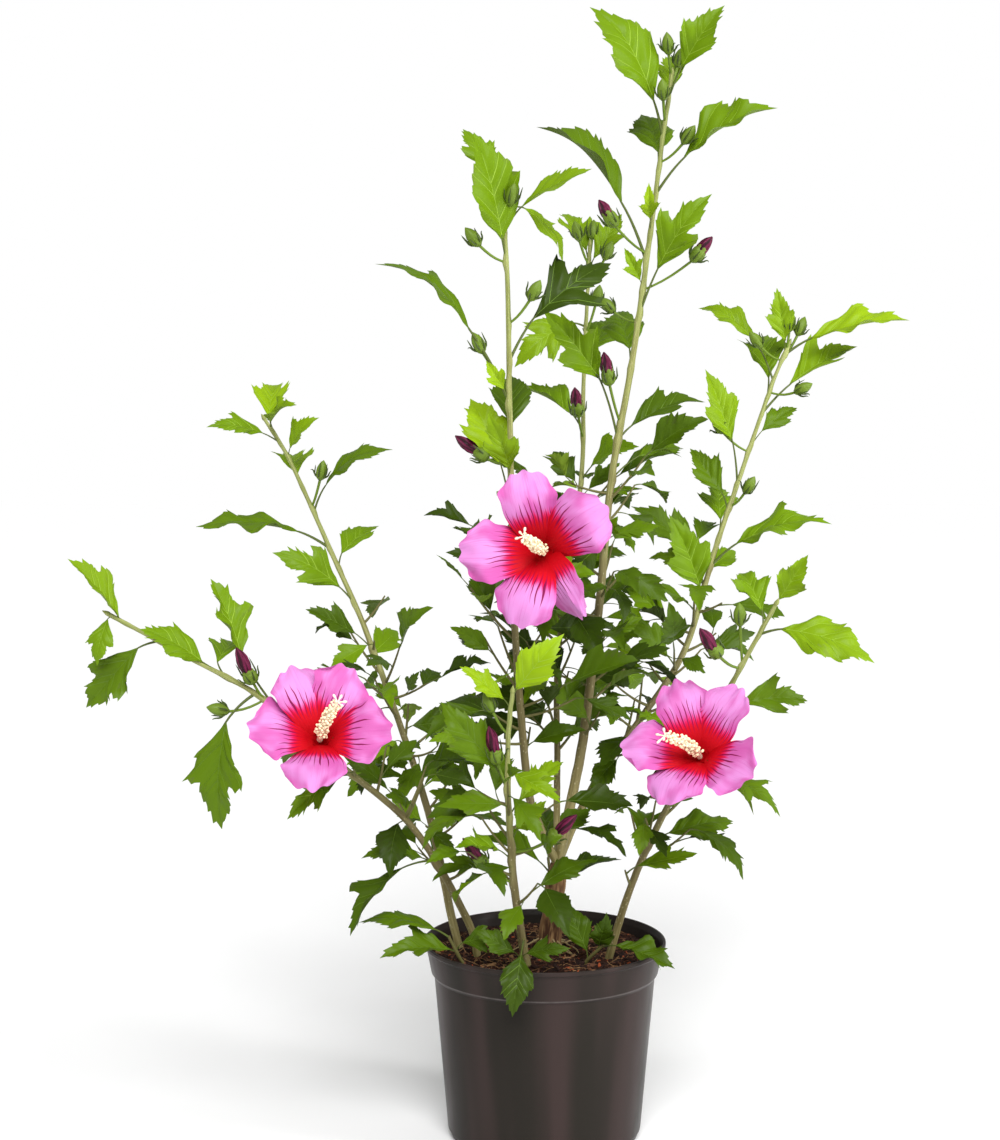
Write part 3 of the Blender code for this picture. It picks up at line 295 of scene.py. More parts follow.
# The leaves that shape the outline: share of the cane where the stalk leaves it, bearing from +X and rise
# above level in degrees, blade length in mm, how far the upper face turns from up to the front, stalk length
# in mm.
LEAVES = {
    "tall": [(0.92, 190, 60, 86, 32, 30), (0.97, 335, 55, 56, 60, 26), (0.85, 345, 30, 80, 32, 36),
             (0.765, 172, 46, 90, 12, 50), (0.80, 255, 50, 30, 85, 13), (0.70, 330, 55, 70, 55, 38),
             (0.73, 210, 55, 28, 80, 8), (0.54, 212, 48, 72, 80, 52), (0.54, 20, 20, 66, 20, 16),
             (0.49, 30, 5, 48, 15, 30), (0.96, 80, 45, 48, 30, 14), (0.88, 95, 35, 62, 20, 18),
             (0.63, 100, 30, 66, 20, 20)],
    "inner_left": [(0.86, 220, 68, 80, 34, 17), (0.90, 340, 25, 58, 30, 22), (0.93, 30, -40, 56, 30, 20),
                   (0.73, 25, 35, 78, 55, 38), (0.675, 192, 42, 84, 16, 62), (0.67, 210, 55, 26, 80, 14),
                   (0.53, 135, 60, 58, 60, 36), (0.57, 250, 57, 50, 75, 10), (0.96, 130, 50, 46, 30, 10),
                   (0.62, 85, 40, 56, 20, 16)],
    "middle": [(0.87, 205, -25, 62, 60, 12), (0.96, 25, 50, 48, 50, 12), (0.97, 110, 40, 56, 20, 14),
               (0.80, 60, 30, 62, 25, 20), (0.70, 140, 25, 60, 20, 18), (0.62, 320, 30, 52, 40, 16)],
    "right": [(0.98, 225, 70, 44, 85, 12), (0.98, 345, 10, 82, 30, 26), (0.93, 160, 35, 58, 25, 38),
              (0.87, 20, 25, 72, 20, 36), (0.74, 210, 60, 62, 60, 38), (0.81, 25, 35, 38, 60, 17),
              (0.69, 145, 45, 50, 60, 16), (0.59, 340, 20, 80, 20, 28), (0.55, 160, 45, 66, 25, 28),
              (0.53, 225, 60, 66, 70, 12), (0.90, 95, 40, 64, 20, 20), (0.64, 90, 25, 62, 20, 22)],
    "low_right": [(0.98, 320, 55, 40, 80, 12), (0.92, 340, -10, 70, 45, 18), (0.69, 10, 10, 52, 60, 22),
                  (0.52, 330, -20, 52, 15, 36), (0.94, 110, 35, 48, 20, 12), (0.78, 250, 10, 50, 40, 14),
                  (0.34, 20, 5, 56, 30, 18)],
    "left": [(0.95, 205, 10, 48, 30, 16), (0.98, 300, 25, 40, 50, 8), (0.92, 325, 45, 38, 40, 8),
             (0.81, 345, 35, 64, 20, 24), (0.74, 195, 5, 86, 12, 28), (0.63, 200, 35, 62, 50, 18),
             (0.54, 205, 25, 46, 50, 20), (0.54, 95, 50, 58, 65, 18), (0.97, 95, 35, 52, 20, 16),
             (0.86, 100, 15, 58, 20, 18), (0.70, 60, 25, 52, 20, 16)],
    "left_arch": [(0.97, 208, 50, 57, 26, 6), (0.905, 165, -50, 62, 58, 16), (0.765, 205, 36, 54, 40, 24),
                  (0.71, 205, -84, 80, 6, 30), (0.668, 155, 66, 62, 5, 44), (0.474, 200, -28, 50, 60, 10),
                  (0.995, 232, -66, 34, 24, 4), (0.775, 80, 10, 52, 20, 16), (0.215, 195, 10, 46, 30, 16),
                  (0.23, 198, -46, 64, 0, 28)],
    "front": [(0.98, 335, 50, 54, 75, 8), (0.65, 200, 50, 66, 75, 22), (0.71, 316, -20, 44, 60, 8),
              (0.46, 320, 45, 36, 70, 16), (0.94, 190, 35, 40, 50, 10), (0.56, 30, 30, 50, 30, 14),
              (0.40, 215, 15, 44, 30, 16)],
    "foot_front": [(0.95, 252, -55, 46, 88, 22), (0.50, 330, 20, 36, 60, 8), (0.50, 190, 25, 34, 60, 8)],
    "foot_left": [(0.55, 192, 6, 56, 25, 5), (0.95, 175, 10, 60, 10, 12), (0.60, 335, 18, 38, 60, 10)],
    "foot_right": [(0.70, 280, 55, 34, 70, 8), (0.90, 340, -12, 50, 20, 12), (0.35, 150, 62, 42, 55, 8)],
    "foot_back": [(0.60, 20, 15, 52, 10, 14), (0.80, 160, 20, 54, 10, 14), (0.95, 90, 30, 56, 10, 12)],
}

# Buds: share, bearing, rise, stalk length in mm, and how far the furled petals show, from 0 to 1.
BUDS = {
    "tall": [(0.775, 200, 38, 34, 0.4), (0.94, 255, 65, 18, 0), (1.00, 240, 70, 16, 0), (0.89, 330, 35, 24, 0),
             (0.73, 345, 30, 44, 0.4), (0.56, 230, 65, 34, 0.6), (0.69, 150, 20, 22, 0),
             (0.99, 40, 60, 14, 0)],
    "inner_left": [(0.86, 200, 30, 24, 0), (0.91, 300, 55, 16, 0), (0.78, 335, 45, 24, 0),
                   (0.70, 185, 50, 30, 0), (0.595, 160, 8, 18, 1)],
    "middle": [(0.97, 210, 65, 22, 0), (0.98, 70, 65, 18, 0), (0.94, 345, 55, 24, 0), (0.86, 315, 65, 26, 0),
               (0.69, 250, 55, 22, 0.6)],
    "right": [(0.99, 295, 75, 16, 0), (0.98, 15, 55, 20, 0), (0.97, 200, 30, 22, 0), (0.91, 335, 0, 22, 0),
              (0.80, 200, 35, 28, 0), (0.70, 325, 40, 18, 0)],
    "low_right": [(0.84, 250, 75, 30, 0), (0.83, 225, 25, 26, 1)],
    "left": [(0.82, 315, 65, 26, 0)],
    "left_arch": [(0.69, 200, -15, 28, 0), (0.68, 215, 50, 20, 1)],
    "front": [(0.90, 265, 65, 18, 0), (0.85, 205, 55, 22, 0), (0.67, 230, 60, 22, 1), (0.43, 338, 22, 32, 1),
              (0.32, 212, 32, 30, 1)],
}

# Side shoots: first and last share of the cane that bears them, how many, and the first one's bearing.
SHOOTS = {
    "left_arch": (0.24, 0.62, 3, 60), "left": (0.16, 0.52, 6, 330), "front": (0.22, 0.60, 3, 80),
    "low_right": (0.24, 0.60, 4, 70), "inner_left": (0.18, 0.48, 6, 200), "middle": (0.20, 0.60, 7, 250),
    "tall": (0.20, 0.50, 6, 20), "right": (0.20, 0.52, 6, 300),
}

# Blooms: cane, share where the stalk leaves it, place of the cup in mm, direction faced, petal bearings round
# the face from its right-hand side, the petals' scale, and how far right and up the column's end leans in mm.
BLOOMS = {
    "bloom_middle": ("inner_left", 0.37, (-3, -84, 470), (-0.16, -0.97, 0.15), (34, 104, 184, 256, 303), 1.08,
                     (-8, 8)),
    "bloom_left": ("left_arch", 0.54, (-165, -130, 338), (0.08, -0.80, 0.60), (62, 112, 181, 262, 354), 0.96,
                   (12, 8)),
    "bloom_right": ("low_right", 0.46, (108, -143, 328), (-0.26, -0.74, 0.62), (59, 114, 187, 257, 332), 0.98,
                    (-15, -7)),
}
PETAL = 55          # mm from the cup's centre to a petal's end, across the face
PETAL_HALF = 24     # mm, half a petal's width
FUNNEL = 27         # mm that the petals' ends stand ahead of the cup


def unit(v):
    """The vector scaled to length one."""
    v = np.asarray(v, float)
    return v / np.linalg.norm(v)


def corner_angles(sides):
    """Angles of a ring's corners, in radians."""
    return 2 * pi * np.arange(sides) / sides


def run_along(line):
    """Distance along the line at each of its points."""
    return np.r_[0, np.cumsum(np.linalg.norm(np.diff(line, axis=0), axis=1))]


def points_at(line, marks, at):
    """Points of the line, straight between its own, where at falls among the marks that those have."""
    return np.stack([np.interp(at, marks, column) for column in line.T], axis=-1)


def heading(bearing, rise):
    """Unit vector with this bearing from +X and this rise above level, in degrees."""
    b, r = radians(bearing), radians(rise)
    return np.array([cos(r) * cos(b), cos(r) * sin(b), sin(r)])


def smooth_route(points):
    """Catmull-Rom curve through the points: on each span a cubic whose end slopes are half the chord between
    the points on either side. Resampled to ROUTE_STEPS + 1 points at equal lengths, in metres."""
    p = np.asarray(points, float) * MM
    padded = np.vstack([2 * p[0] - p[1], p, 2 * p[-1] - p[-2]])
    t = np.linspace(0, 1, 24, endpoint=False)[:, None]
    spans = [0.5 * (2 * b + (c - a) * t + (2 * a - 5 * b + 4 * c - d) * t ** 2
                    + (3 * b - a - 3 * c + d) * t ** 3)
             for a, b, c, d in zip(padded[:-3], padded[1:-2], padded[2:-1], padded[3:])]
    fine = np.vstack(spans + [p[-1:]])
    run = run_along(fine)
    return points_at(fine, run, np.linspace(0, run[-1], ROUTE_STEPS + 1))


ROUTES = {name: smooth_route(points) for name, points in CANES.items()}
RUNS = {name: run_along(line)[-1] for name, line in ROUTES.items()}


def along_cane(cane, share):
    """Point of the cane's centre line at a share of its length, or points at an array of shares."""
    return points_at(ROUTES[cane], np.arange(ROUTE_STEPS + 1), share * ROUTE_STEPS)


def cane_place(cane, share):
    """Point and unit direction of the cane at a share of its length."""
    line, i = ROUTES[cane], share * ROUTE_STEPS
    j = int(min(max(i, 2), ROUTE_STEPS - 2))
    return along_cane(cane, share), unit(line[j + 2] - line[j - 2])


def cane_radius(cane, share):
    """The cane's radius in metres: an even taper from foot to tip."""
    foot = CANE_RADIUS.get(cane, FOOT_CANE_RADIUS)
    return (foot + (CANE_TIP_RADIUS - foot) * share) * MM


def mass_at(cane, share):
    """The mass that owns this share of the cane."""
    return next(name for _, end, name in MASSES[cane] if share <= end)


def draw_sway(rng, ranges):
    """A leaf's bend, fold and twist, each drawn from its range; the fold is turned into radians."""
    bend, fold, twist = (rng.uniform(*span) for span in ranges)
    return bend, radians(fold), twist


class Leaf:
    """A stalk and a blade. The blade's frame is its axis, its side and its normal."""

    def __init__(self, root, lean, bearing, rise, length, face, stalk, sway, tone, planned):
        self.root, self.axis, self.length = root, heading(bearing, rise), length * MM
        self.stalk, self.tone, self.planned = stalk * MM, tone, planned
        self.base = root + stalk * MM * unit(self.axis + STALK_LIFT * lean)
        self.knee = (root + self.base) / 2 + STALK_BOW * stalk * MM * lean
        wanted = np.array([0, -sin(radians(face)), cos(radians(face))])
        self.normal = unit(wanted - wanted @ self.axis * self.axis)
        self.side = np.cross(self.normal, self.axis)
        self.bend, self.fold, self.twist = sway

    def surface(self, u, v, reach, sweep):
        """Point of the blade at u along the midrib and v across it. A vein leaves the midrib at u and runs
        outwards by reach and forwards by reach x sweep; the halves are folded up, the midrib bows, the whole
        twists."""
        along = u + np.abs(v) * reach * sweep
        across = v * reach * cos(self.fold)
        lift = np.abs(v) * reach * sin(self.fold) + self.bend * along * (1 - along) / 2
        turn = self.twist * (along - 0.3)
        flat = across * np.cos(turn) - lift * np.sin(turn)
        high = across * np.sin(turn) + lift * np.cos(turn)
        frame = np.array([self.axis, self.side, self.normal])
        return self.base + self.length * np.stack([along, flat, high], axis=-1) @ frame

    def samples(self):
        """Points spread over the blade, for the clearance test."""
        u, v = np.meshgrid(np.linspace(0.04, 1, 11), np.linspace(-1, 1, 7), indexing="ij")
        reach = np.interp(u, LEAF_STATIONS, LEAF_REACH)
        sweep = np.interp(u, LEAF_STATIONS, LEAF_SWEEP)
        return self.surface(u, v, reach, sweep).reshape(-1, 3)

    def stem(self):
        """Points along the stalk."""
        return np.array([self.root, (self.root + self.knee) / 2, self.knee, (self.knee + self.base) / 2])


class Bud:
    """A stalk and a bud on its end."""

    def __init__(self, root, bearing, rise, stalk, ripe, size):
        self.root, self.axis, self.ripe, self.size = root, heading(bearing, rise), ripe, size
        self.neck = root + stalk * MM * self.axis
        self.end = self.neck + BUD_LENGTH * size * unit(self.axis + np.array([0, 0, 0.5]))

    def samples(self):
        """Points along the bud."""
        return np.vstack([self.neck, (self.neck + self.end) / 2, self.end])

    def stem(self):
        """Points along the stalk."""
        return self.root + np.array([[0], [0.25], [0.5], [0.75]]) * (self.neck - self.root)


class Shoot:
    """A short side twig: a line that bows upwards from its root."""

    def __init__(self, root, bearing, rise, length):
        t = np.linspace(0, 1, SHOOT_STEPS + 1)[:, None]
        up = SHOOT_BOW * t ** 2 * np.array([0, 0, 1.0])
        self.line = root + length * MM * (t * heading(bearing, rise) + up)
        self.bearing, self.reach = bearing, 1

    def place(self, share):
        """Point and unit direction at a share of the shoot's length."""
        i = share * SHOOT_STEPS
        j = min(int(i), SHOOT_STEPS - 1)
        return points_at(self.line, np.arange(SHOOT_STEPS + 1), i), unit(self.line[j + 1] - self.line[j])

    def end_at(self, share):
        """Cuts the twig off at its last leaf."""
        self.reach = share
        self.line = self.line[:int(np.ceil(share * SHOOT_STEPS)) + 1]

    def samples(self):
        """Points along the outer part of the twig."""
        return self.line[2:]

    def stem(self):
        """The points nearest its root."""
        return self.line[:2]


def petal_width(t):
    """A petal's width at t as a share of its widest: a smooth step up from its claw, then a parabola down."""
    x = np.clip(t / PETAL_WIDEST, 0, 1)
    past = np.clip((t - PETAL_WIDEST) / (1 - PETAL_WIDEST), 0, 1)
    return PETAL_CLAW + (1 - PETAL_CLAW) * x ** 2 * (3 - 2 * x) - PETAL_NARROWING * past ** 2


class Bloom:
    """A flower on its stalk: the face's axis, its upward and rightward directions, the petals' bearings."""

    def __init__(self, cane, share, cup, facing, bearings, scale, lean):
        point, along = cane_place(cane, share)
        self.axis = unit(facing)
        self.up = unit(np.array([0, 0, 1.0]) - self.axis[2] * self.axis)
        self.right = np.cross(self.up, self.axis)
        self.lean = (lean[0] * self.right + lean[1] * self.up) * MM
        self.cup, self.bearings, self.scale = np.array(cup, float) * MM, bearings, scale
        back = self.cup - 2 * CUP_DEPTH * self.axis
        self.away = unit((back - point) - (back - point) @ along * along)
        self.root = point + (cane_radius(cane, share) + CLEARANCE) * self.away
        t = np.linspace(0, 1, STALK_STEPS + 1)[:, None]
        handles = [self.root, self.root + 8 * MM * self.away, back - 6 * MM * self.axis,
                   self.cup - CUP_DEPTH * self.axis]
        weights = [(1 - t) ** 3, 3 * t * (1 - t) ** 2, 3 * t ** 2 * (1 - t), t ** 3]
        self.stalk = sum(w * h for w, h in zip(weights, handles))

    def ways(self, bearing):
        """Unit vectors along a petal of this bearing and across it."""
        b = radians(bearing)
        return cos(b) * self.right + sin(b) * self.up, cos(b) * self.up - sin(b) * self.right

    def petal(self, bearing, t, v):
        """Point of a petal at t from cup to end and v across: it climbs out of the funnel and flattens,
        widens and rounds off, its section dips along the middle, one edge stands over the next petal's."""
        out, across = self.ways(bearing)
        far = (PETAL_ROOT + (PETAL - PETAL_ROOT) * t) * self.scale * MM
        high = FUNNEL * self.scale * MM * (1 - (1 - t) ** 2)
        half = PETAL_HALF * self.scale * MM * petal_width(t)
        rounding = PETAL_ROUND * MM * np.clip(t - 0.5, 0, 1) * 2 * v ** 2
        dip = PETAL_DIP * MM * t * v ** 2 + PETAL_TILT * v * half
        return (self.cup + (far - rounding)[..., None] * out + (v * half)[..., None] * across
                + (high + dip)[..., None] * self.axis)

    def column(self, t):
        """Point of the staminal column at t from cup to end: it curves away from the axis by its lean."""
        return self.cup + t[:, None] * COLUMN_LENGTH * self.axis + t[:, None] ** 2 * self.lean

    def samples(self):
        """Points spread over the petals and along the stalk."""
        t, v = np.meshgrid(np.linspace(0.1, 1, 8), np.linspace(-1, 1, 7), indexing="ij")
        petals = [self.petal(b, t, v).reshape(-1, 3) for b in self.bearings]
        return np.vstack(petals + [self.stalk])


class Space:
    """What has been placed, as clouds of points, each with the mass it belongs to."""

    def __init__(self):
        self.clouds = []

    def add(self, mass, points, girth=0.0):
        """Keeps a cloud, its middle, how far it spreads from there, and the girth of what it stands for."""
        centre = points.mean(axis=0)
        self.clouds.append((mass, points, centre, np.linalg.norm(points - centre, axis=1).max(), girth))

    def free(self, mass, host, points, stem, gap, own_gap):
        """True where the points keep own_gap to their own mass and host cane, and both they and the stem keep
        the gap to everything else."""
        whole = np.vstack([points, stem])
        centre = whole.mean(axis=0)
        radius = np.linalg.norm(whole - centre, axis=1).max()
        for owner, cloud, middle, spread, girth in self.clouds:
            own = owner in (mass, host)
            need = (own_gap if own else gap) + girth
            if np.linalg.norm(middle - centre) > radius + spread + need:
                continue
            if np.linalg.norm((points if own else whole)[:, None] - cloud[None], axis=2).min() < need:
                return False
        return True


def in_pot(points):
    """True where any of the points would touch the pot or sink into the soil."""
    far = np.hypot(points[:, 0], points[:, 1])
    over_soil = (far < RIM_RADIUS - 4 * MM) & (points[:, 2] < SOIL_TOP + 4 * MM)
    at_wall = (abs(far - RIM_RADIUS) <= 5 * MM) & (points[:, 2] < POT_HEIGHT + 3 * MM)
    return bool((over_soil | at_wall).any())


def grow():
    """Everything that grows, in order: canes, blooms, the planned leaves and buds, then side shoots by a
    seeded rule. A leaf, bud or shoot that would touch what is already there is skipped."""
    space, grown = Space(), {name: [] for parts in MASSES.values() for _, _, name in parts}
    blooms = {name: Bloom(*plan) for name, plan in BLOOMS.items()}
    for cane, line in ROUTES.items():
        space.add(cane, line, cane_radius(cane, 0.3))
    for name, bloom in blooms.items():
        space.add(name, bloom.samples())

    def place(piece, mass, host, gap, own_gap):
        """Adds the piece to its mass where it is clear, and tells whether it was."""
        points, stem = piece.samples(), piece.stem()
        if in_pot(points) or not space.free(mass, host, points, stem, gap, own_gap):
            return False
        space.add(mass, np.vstack([points, stem]))
        grown[mass].append(piece)
        return True

    for cane, plan in LEAVES.items():
        rng = np.random.default_rng(SEED + len(cane))
        for share, bearing, rise, length, face, stalk in plan:
            point, lean = cane_place(cane, share)
            sway, tone = draw_sway(rng, PLANNED_SWAY), leaf_tone(share, length)
            leaf = Leaf(point, lean, bearing, rise, length, face, stalk, sway, tone, True)
            place(leaf, mass_at(cane, share), cane, PLANNED_GAP, OWN_GAP)
    for cane, plan in BUDS.items():
        for share, bearing, rise, stalk, ripe in plan:
            bud = Bud(along_cane(cane, share), bearing, rise, stalk, ripe, 1.15 if ripe else 0.95)
            place(bud, mass_at(cane, share), cane, PLANNED_GAP, OWN_GAP)
    for cane, (first, last, count, bearing) in SHOOTS.items():
        rng = np.random.default_rng(SEED * 10 + len(cane))
        for i in range(count):
            share = first + (last - first) * (i + rng.uniform(0.2, 0.8)) / count
            point, mass = along_cane(cane, share), mass_at(cane, share)
            length, rise = rng.uniform(*SHOOT_LENGTH), rng.uniform(15, 45)
            for attempt in range(SHOOT_TRIES):
                shoot = Shoot(point, bearing + GOLDEN * i + SHOOT_TURN * attempt, rise, length)
                if place(shoot, mass, cane, SEEDED_GAP, OWN_GAP):
                    shoot.end_at(dress_shoot(shoot, mass, cane, rng, place))
                    if not shoot.reach:
                        grown[mass].remove(shoot)
                    break
    return grown, blooms, place


def dress_shoot(shoot, mass, host, rng, place):
    """Leaves on a side shoot: alternate sides, and one that carries on from its tip. Returns the share of the
    shoot at its last leaf."""
    reach = 0
    for k, share in enumerate(SHOOT_LEAVES):
        point, lean = shoot.place(share)
        length = rng.uniform(*SHOOT_LEAF_LENGTH)
        rise, face = rng.uniform(-15, 40), rng.uniform(0, 60)
        sway = draw_sway(rng, PLANNED_SWAY)
        spread = 0 if share == 1 else (55 if k % 2 else -55)
        for attempt in range(3):
            bearing = shoot.bearing + spread + 25 * attempt
            leaf = Leaf(point, lean, bearing, rise, length, face, 9, sway, 0, False)
            if place(leaf, mass, host, SEEDED_GAP, SEEDED_OWN_GAP):
                reach = share
                break
    return reach


def leaf_tone(share, length):
    """0 for an old dark leaf, 1 for a full one, 2 for the young bright ones at a cane's end."""
    if share > 0.9 or length < 38:
        return 2
    return 1 if share > 0.5 else 0


# ---------------------------------------------------------------- surfaces
def put(name, data):
    """New object in the scene for this mesh, light or camera."""
    made = bpy.data.objects.new(name, data)
    bpy.context.scene.collection.objects.link(made)
    return made


def faces_of(index, wrap=False):
    """Quads between neighbouring rows and columns of a grid of point numbers; wrap joins the last column to
    the first."""
    after = np.roll(index, -1, axis=1) if wrap else index[:, 1:]
    here = index if wrap else index[:, :-1]
    return np.stack([here[:-1], after[:-1], after[1:], here[1:]], axis=-1).reshape(-1, 4)


def ripple(points, wave, seed):
    """Smooth bumps of about -1 to 1: the mean of eight sine waves near this wavelength in seeded directions."""
    rng = np.random.default_rng(seed)
    ways = rng.normal(size=(8, 3))
    ways *= 2 * pi / wave * rng.uniform(0.7, 1.5, (8, 1)) / np.linalg.norm(ways, axis=1)[:, None]
    return 1.6 * np.sin(points @ ways.T + rng.uniform(0, 2 * pi, 8)).mean(axis=-1)


def capped(rings, sides):
    """Point numbers of a round grid whose first and last ring are each drawn to one point."""
    index = np.arange(rings * sides).reshape(rings, sides)
    index[0], index[-1] = index[0, 0], index[-1, 0]
    return index


def step(x, low, high):
    """Smooth step from 0 at low to 1 at high."""
    x = np.clip((x - low) / (high - low), 0, 1)
    return x * x * (3 - 2 * x)


class Pile:
    """Points and faces of one joined piece, gathered a shape at a time. A shape's points may carry a grain,
    three numbers that its material's pattern follows, and an age from 0, young, to 1, woody."""

    def __init__(self):
        self.points, self.faces, self.looks, self.grains, self.ages, self.count = [], [], [], [], [], 0

    def add(self, points, faces, look=0, grain=None, age=0.0):
        """Adds a shape: its points, rows of four point numbers, and the number of each face's material."""
        points = points.reshape(-1, 3)
        self.points.append(points)
        self.faces.append(faces + self.count)
        self.looks.append(np.broadcast_to(look, len(faces)))
        self.grains.append(np.zeros_like(points) if grain is None else grain.reshape(-1, 3))
        self.ages.append(np.broadcast_to(age, len(points)))
        self.count += len(points)

    def build(self, name, finishes, slot, *nodes, sharp=60):
        """The piece as an object on the plant's one body. A quad with two equal corners becomes a triangle."""
        used, quads = np.unique(np.vstack(self.faces), return_inverse=True)
        quads, looks = quads.reshape(-1, 4), np.concatenate(self.looks)
        twin = quads == np.roll(quads, -1, axis=1)
        whole, bent = ~twin.any(axis=1), twin.sum(axis=1) == 1
        triangles = quads[bent][~twin[bent]].reshape(-1, 3)
        mesh = bpy.data.meshes.new(name)
        mesh.from_pydata(np.vstack(self.points)[used].tolist(), [], quads[whole].tolist() + triangles.tolist())
        mesh.polygons.foreach_set("material_index", np.r_[looks[whole], looks[bent]].astype(np.int32))
        grain = mesh.attributes.new("grain", "FLOAT_VECTOR", "POINT")
        grain.data.foreach_set("vector", np.vstack(self.grains)[used].astype(np.float32).ravel())
        age = mesh.attributes.new("age", "FLOAT", "POINT")
        age.data.foreach_set("value", np.concatenate(self.ages)[used].astype(np.float32))
        for finish in finishes:
            mesh.materials.append(finish.material)
        mesh.shade_smooth()
        mesh.set_sharp_from_angle(angle=radians(sharp))
        piece = put(name, mesh)
        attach(piece, "root")
        if nodes:
            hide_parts(*nodes)


def across(line):
    """Two unit vectors square to the line at each of its points, carried along it without twist."""
    ahead = np.gradient(line, axis=0)
    ahead /= np.linalg.norm(ahead, axis=1)[:, None]
    start = np.array([1.0, 0, 0]) if abs(ahead[0][0]) < 0.8 else np.array([0, 1.0, 0])
    sides = []
    for direction in ahead:
        start = unit(start - start @ direction * direction)
        sides.append(start)
    sides = np.array(sides)
    return sides, np.cross(ahead, sides)


def spokes(line, sides):
    """Unit vectors from the line at each of its points towards the corners of a ring."""
    right, up = across(line)
    angle = corner_angles(sides)[:, None]
    return np.cos(angle) * right[:, None] + np.sin(angle) * up[:, None]


def rays_about(root, axis, sides):
    """One ring of unit vectors square to the axis, shaped to stand in for the rays of any ring about it."""
    return spokes(np.array([root, root + axis]), sides)[:1]


def add_tube(pile, line, radii, sides, look=0, age=0.0, rays=None):
    """A ring of each radius carried along the line, closed by a point at either end. radii may be a number for
    each ring or for each point, look and age a number for each ring."""
    count = len(line)
    rays = spokes(line, sides) if rays is None else rays
    radii = np.broadcast_to(np.asarray(radii).reshape(count, -1), (count, sides))
    points = np.vstack([line[:1], (line[:, None] + radii[..., None] * rays).reshape(-1, 3), line[-1:]])
    index = np.empty((count + 2, sides), int)
    index[0], index[1:-1], index[-1] = 0, 1 + np.arange(count * sides).reshape(count, sides), 1 + count * sides
    angle, run, mean = corner_angles(sides), run_along(line), radii.mean()
    ring = np.broadcast_arrays(mean * np.cos(angle), mean * np.sin(angle), run[:, None])
    grain = np.vstack([[0, 0, run[0]], np.stack(ring, axis=-1).reshape(-1, 3), [0, 0, run[-1]]])
    ages = np.broadcast_to(age, count)
    if np.ndim(look):
        look = np.repeat(np.r_[look[0], look], sides)
    pile.add(points, faces_of(index, wrap=True), look, grain, np.r_[ages[0], np.repeat(ages, sides), ages[-1]])


def skin_index(rows, columns, pointed):
    """Point numbers of an upper and a lower grid that share their border; a pointed one ends in one point."""
    upper = np.arange(rows * columns).reshape(rows, columns)
    if pointed:
        upper[-1] = upper[-1, 0]
    lower = upper.copy()
    inner = np.arange((rows - 2) * (columns - 2)).reshape(rows - 2, columns - 2)
    lower[1:-1, 1:-1] = rows * columns + inner
    return upper, lower


def add_skin(pile, points, down, pointed, looks, grain=None):
    """Thin closed skin from a grid of points: the under side is the inner points moved by down."""
    rows, columns = points.shape[:2]
    upper, lower = skin_index(rows, columns, pointed)
    both = np.vstack([points.reshape(-1, 3), (points + down)[1:-1, 1:-1].reshape(-1, 3)])
    faces = np.vstack([faces_of(upper)[:, ::-1], faces_of(lower)])
    look = np.repeat(looks, len(faces) // 2)
    if grain is not None:
        grain = np.vstack([grain.reshape(-1, 3), grain[1:-1, 1:-1].reshape(-1, 3)])
    pile.add(both, faces, look, grain)


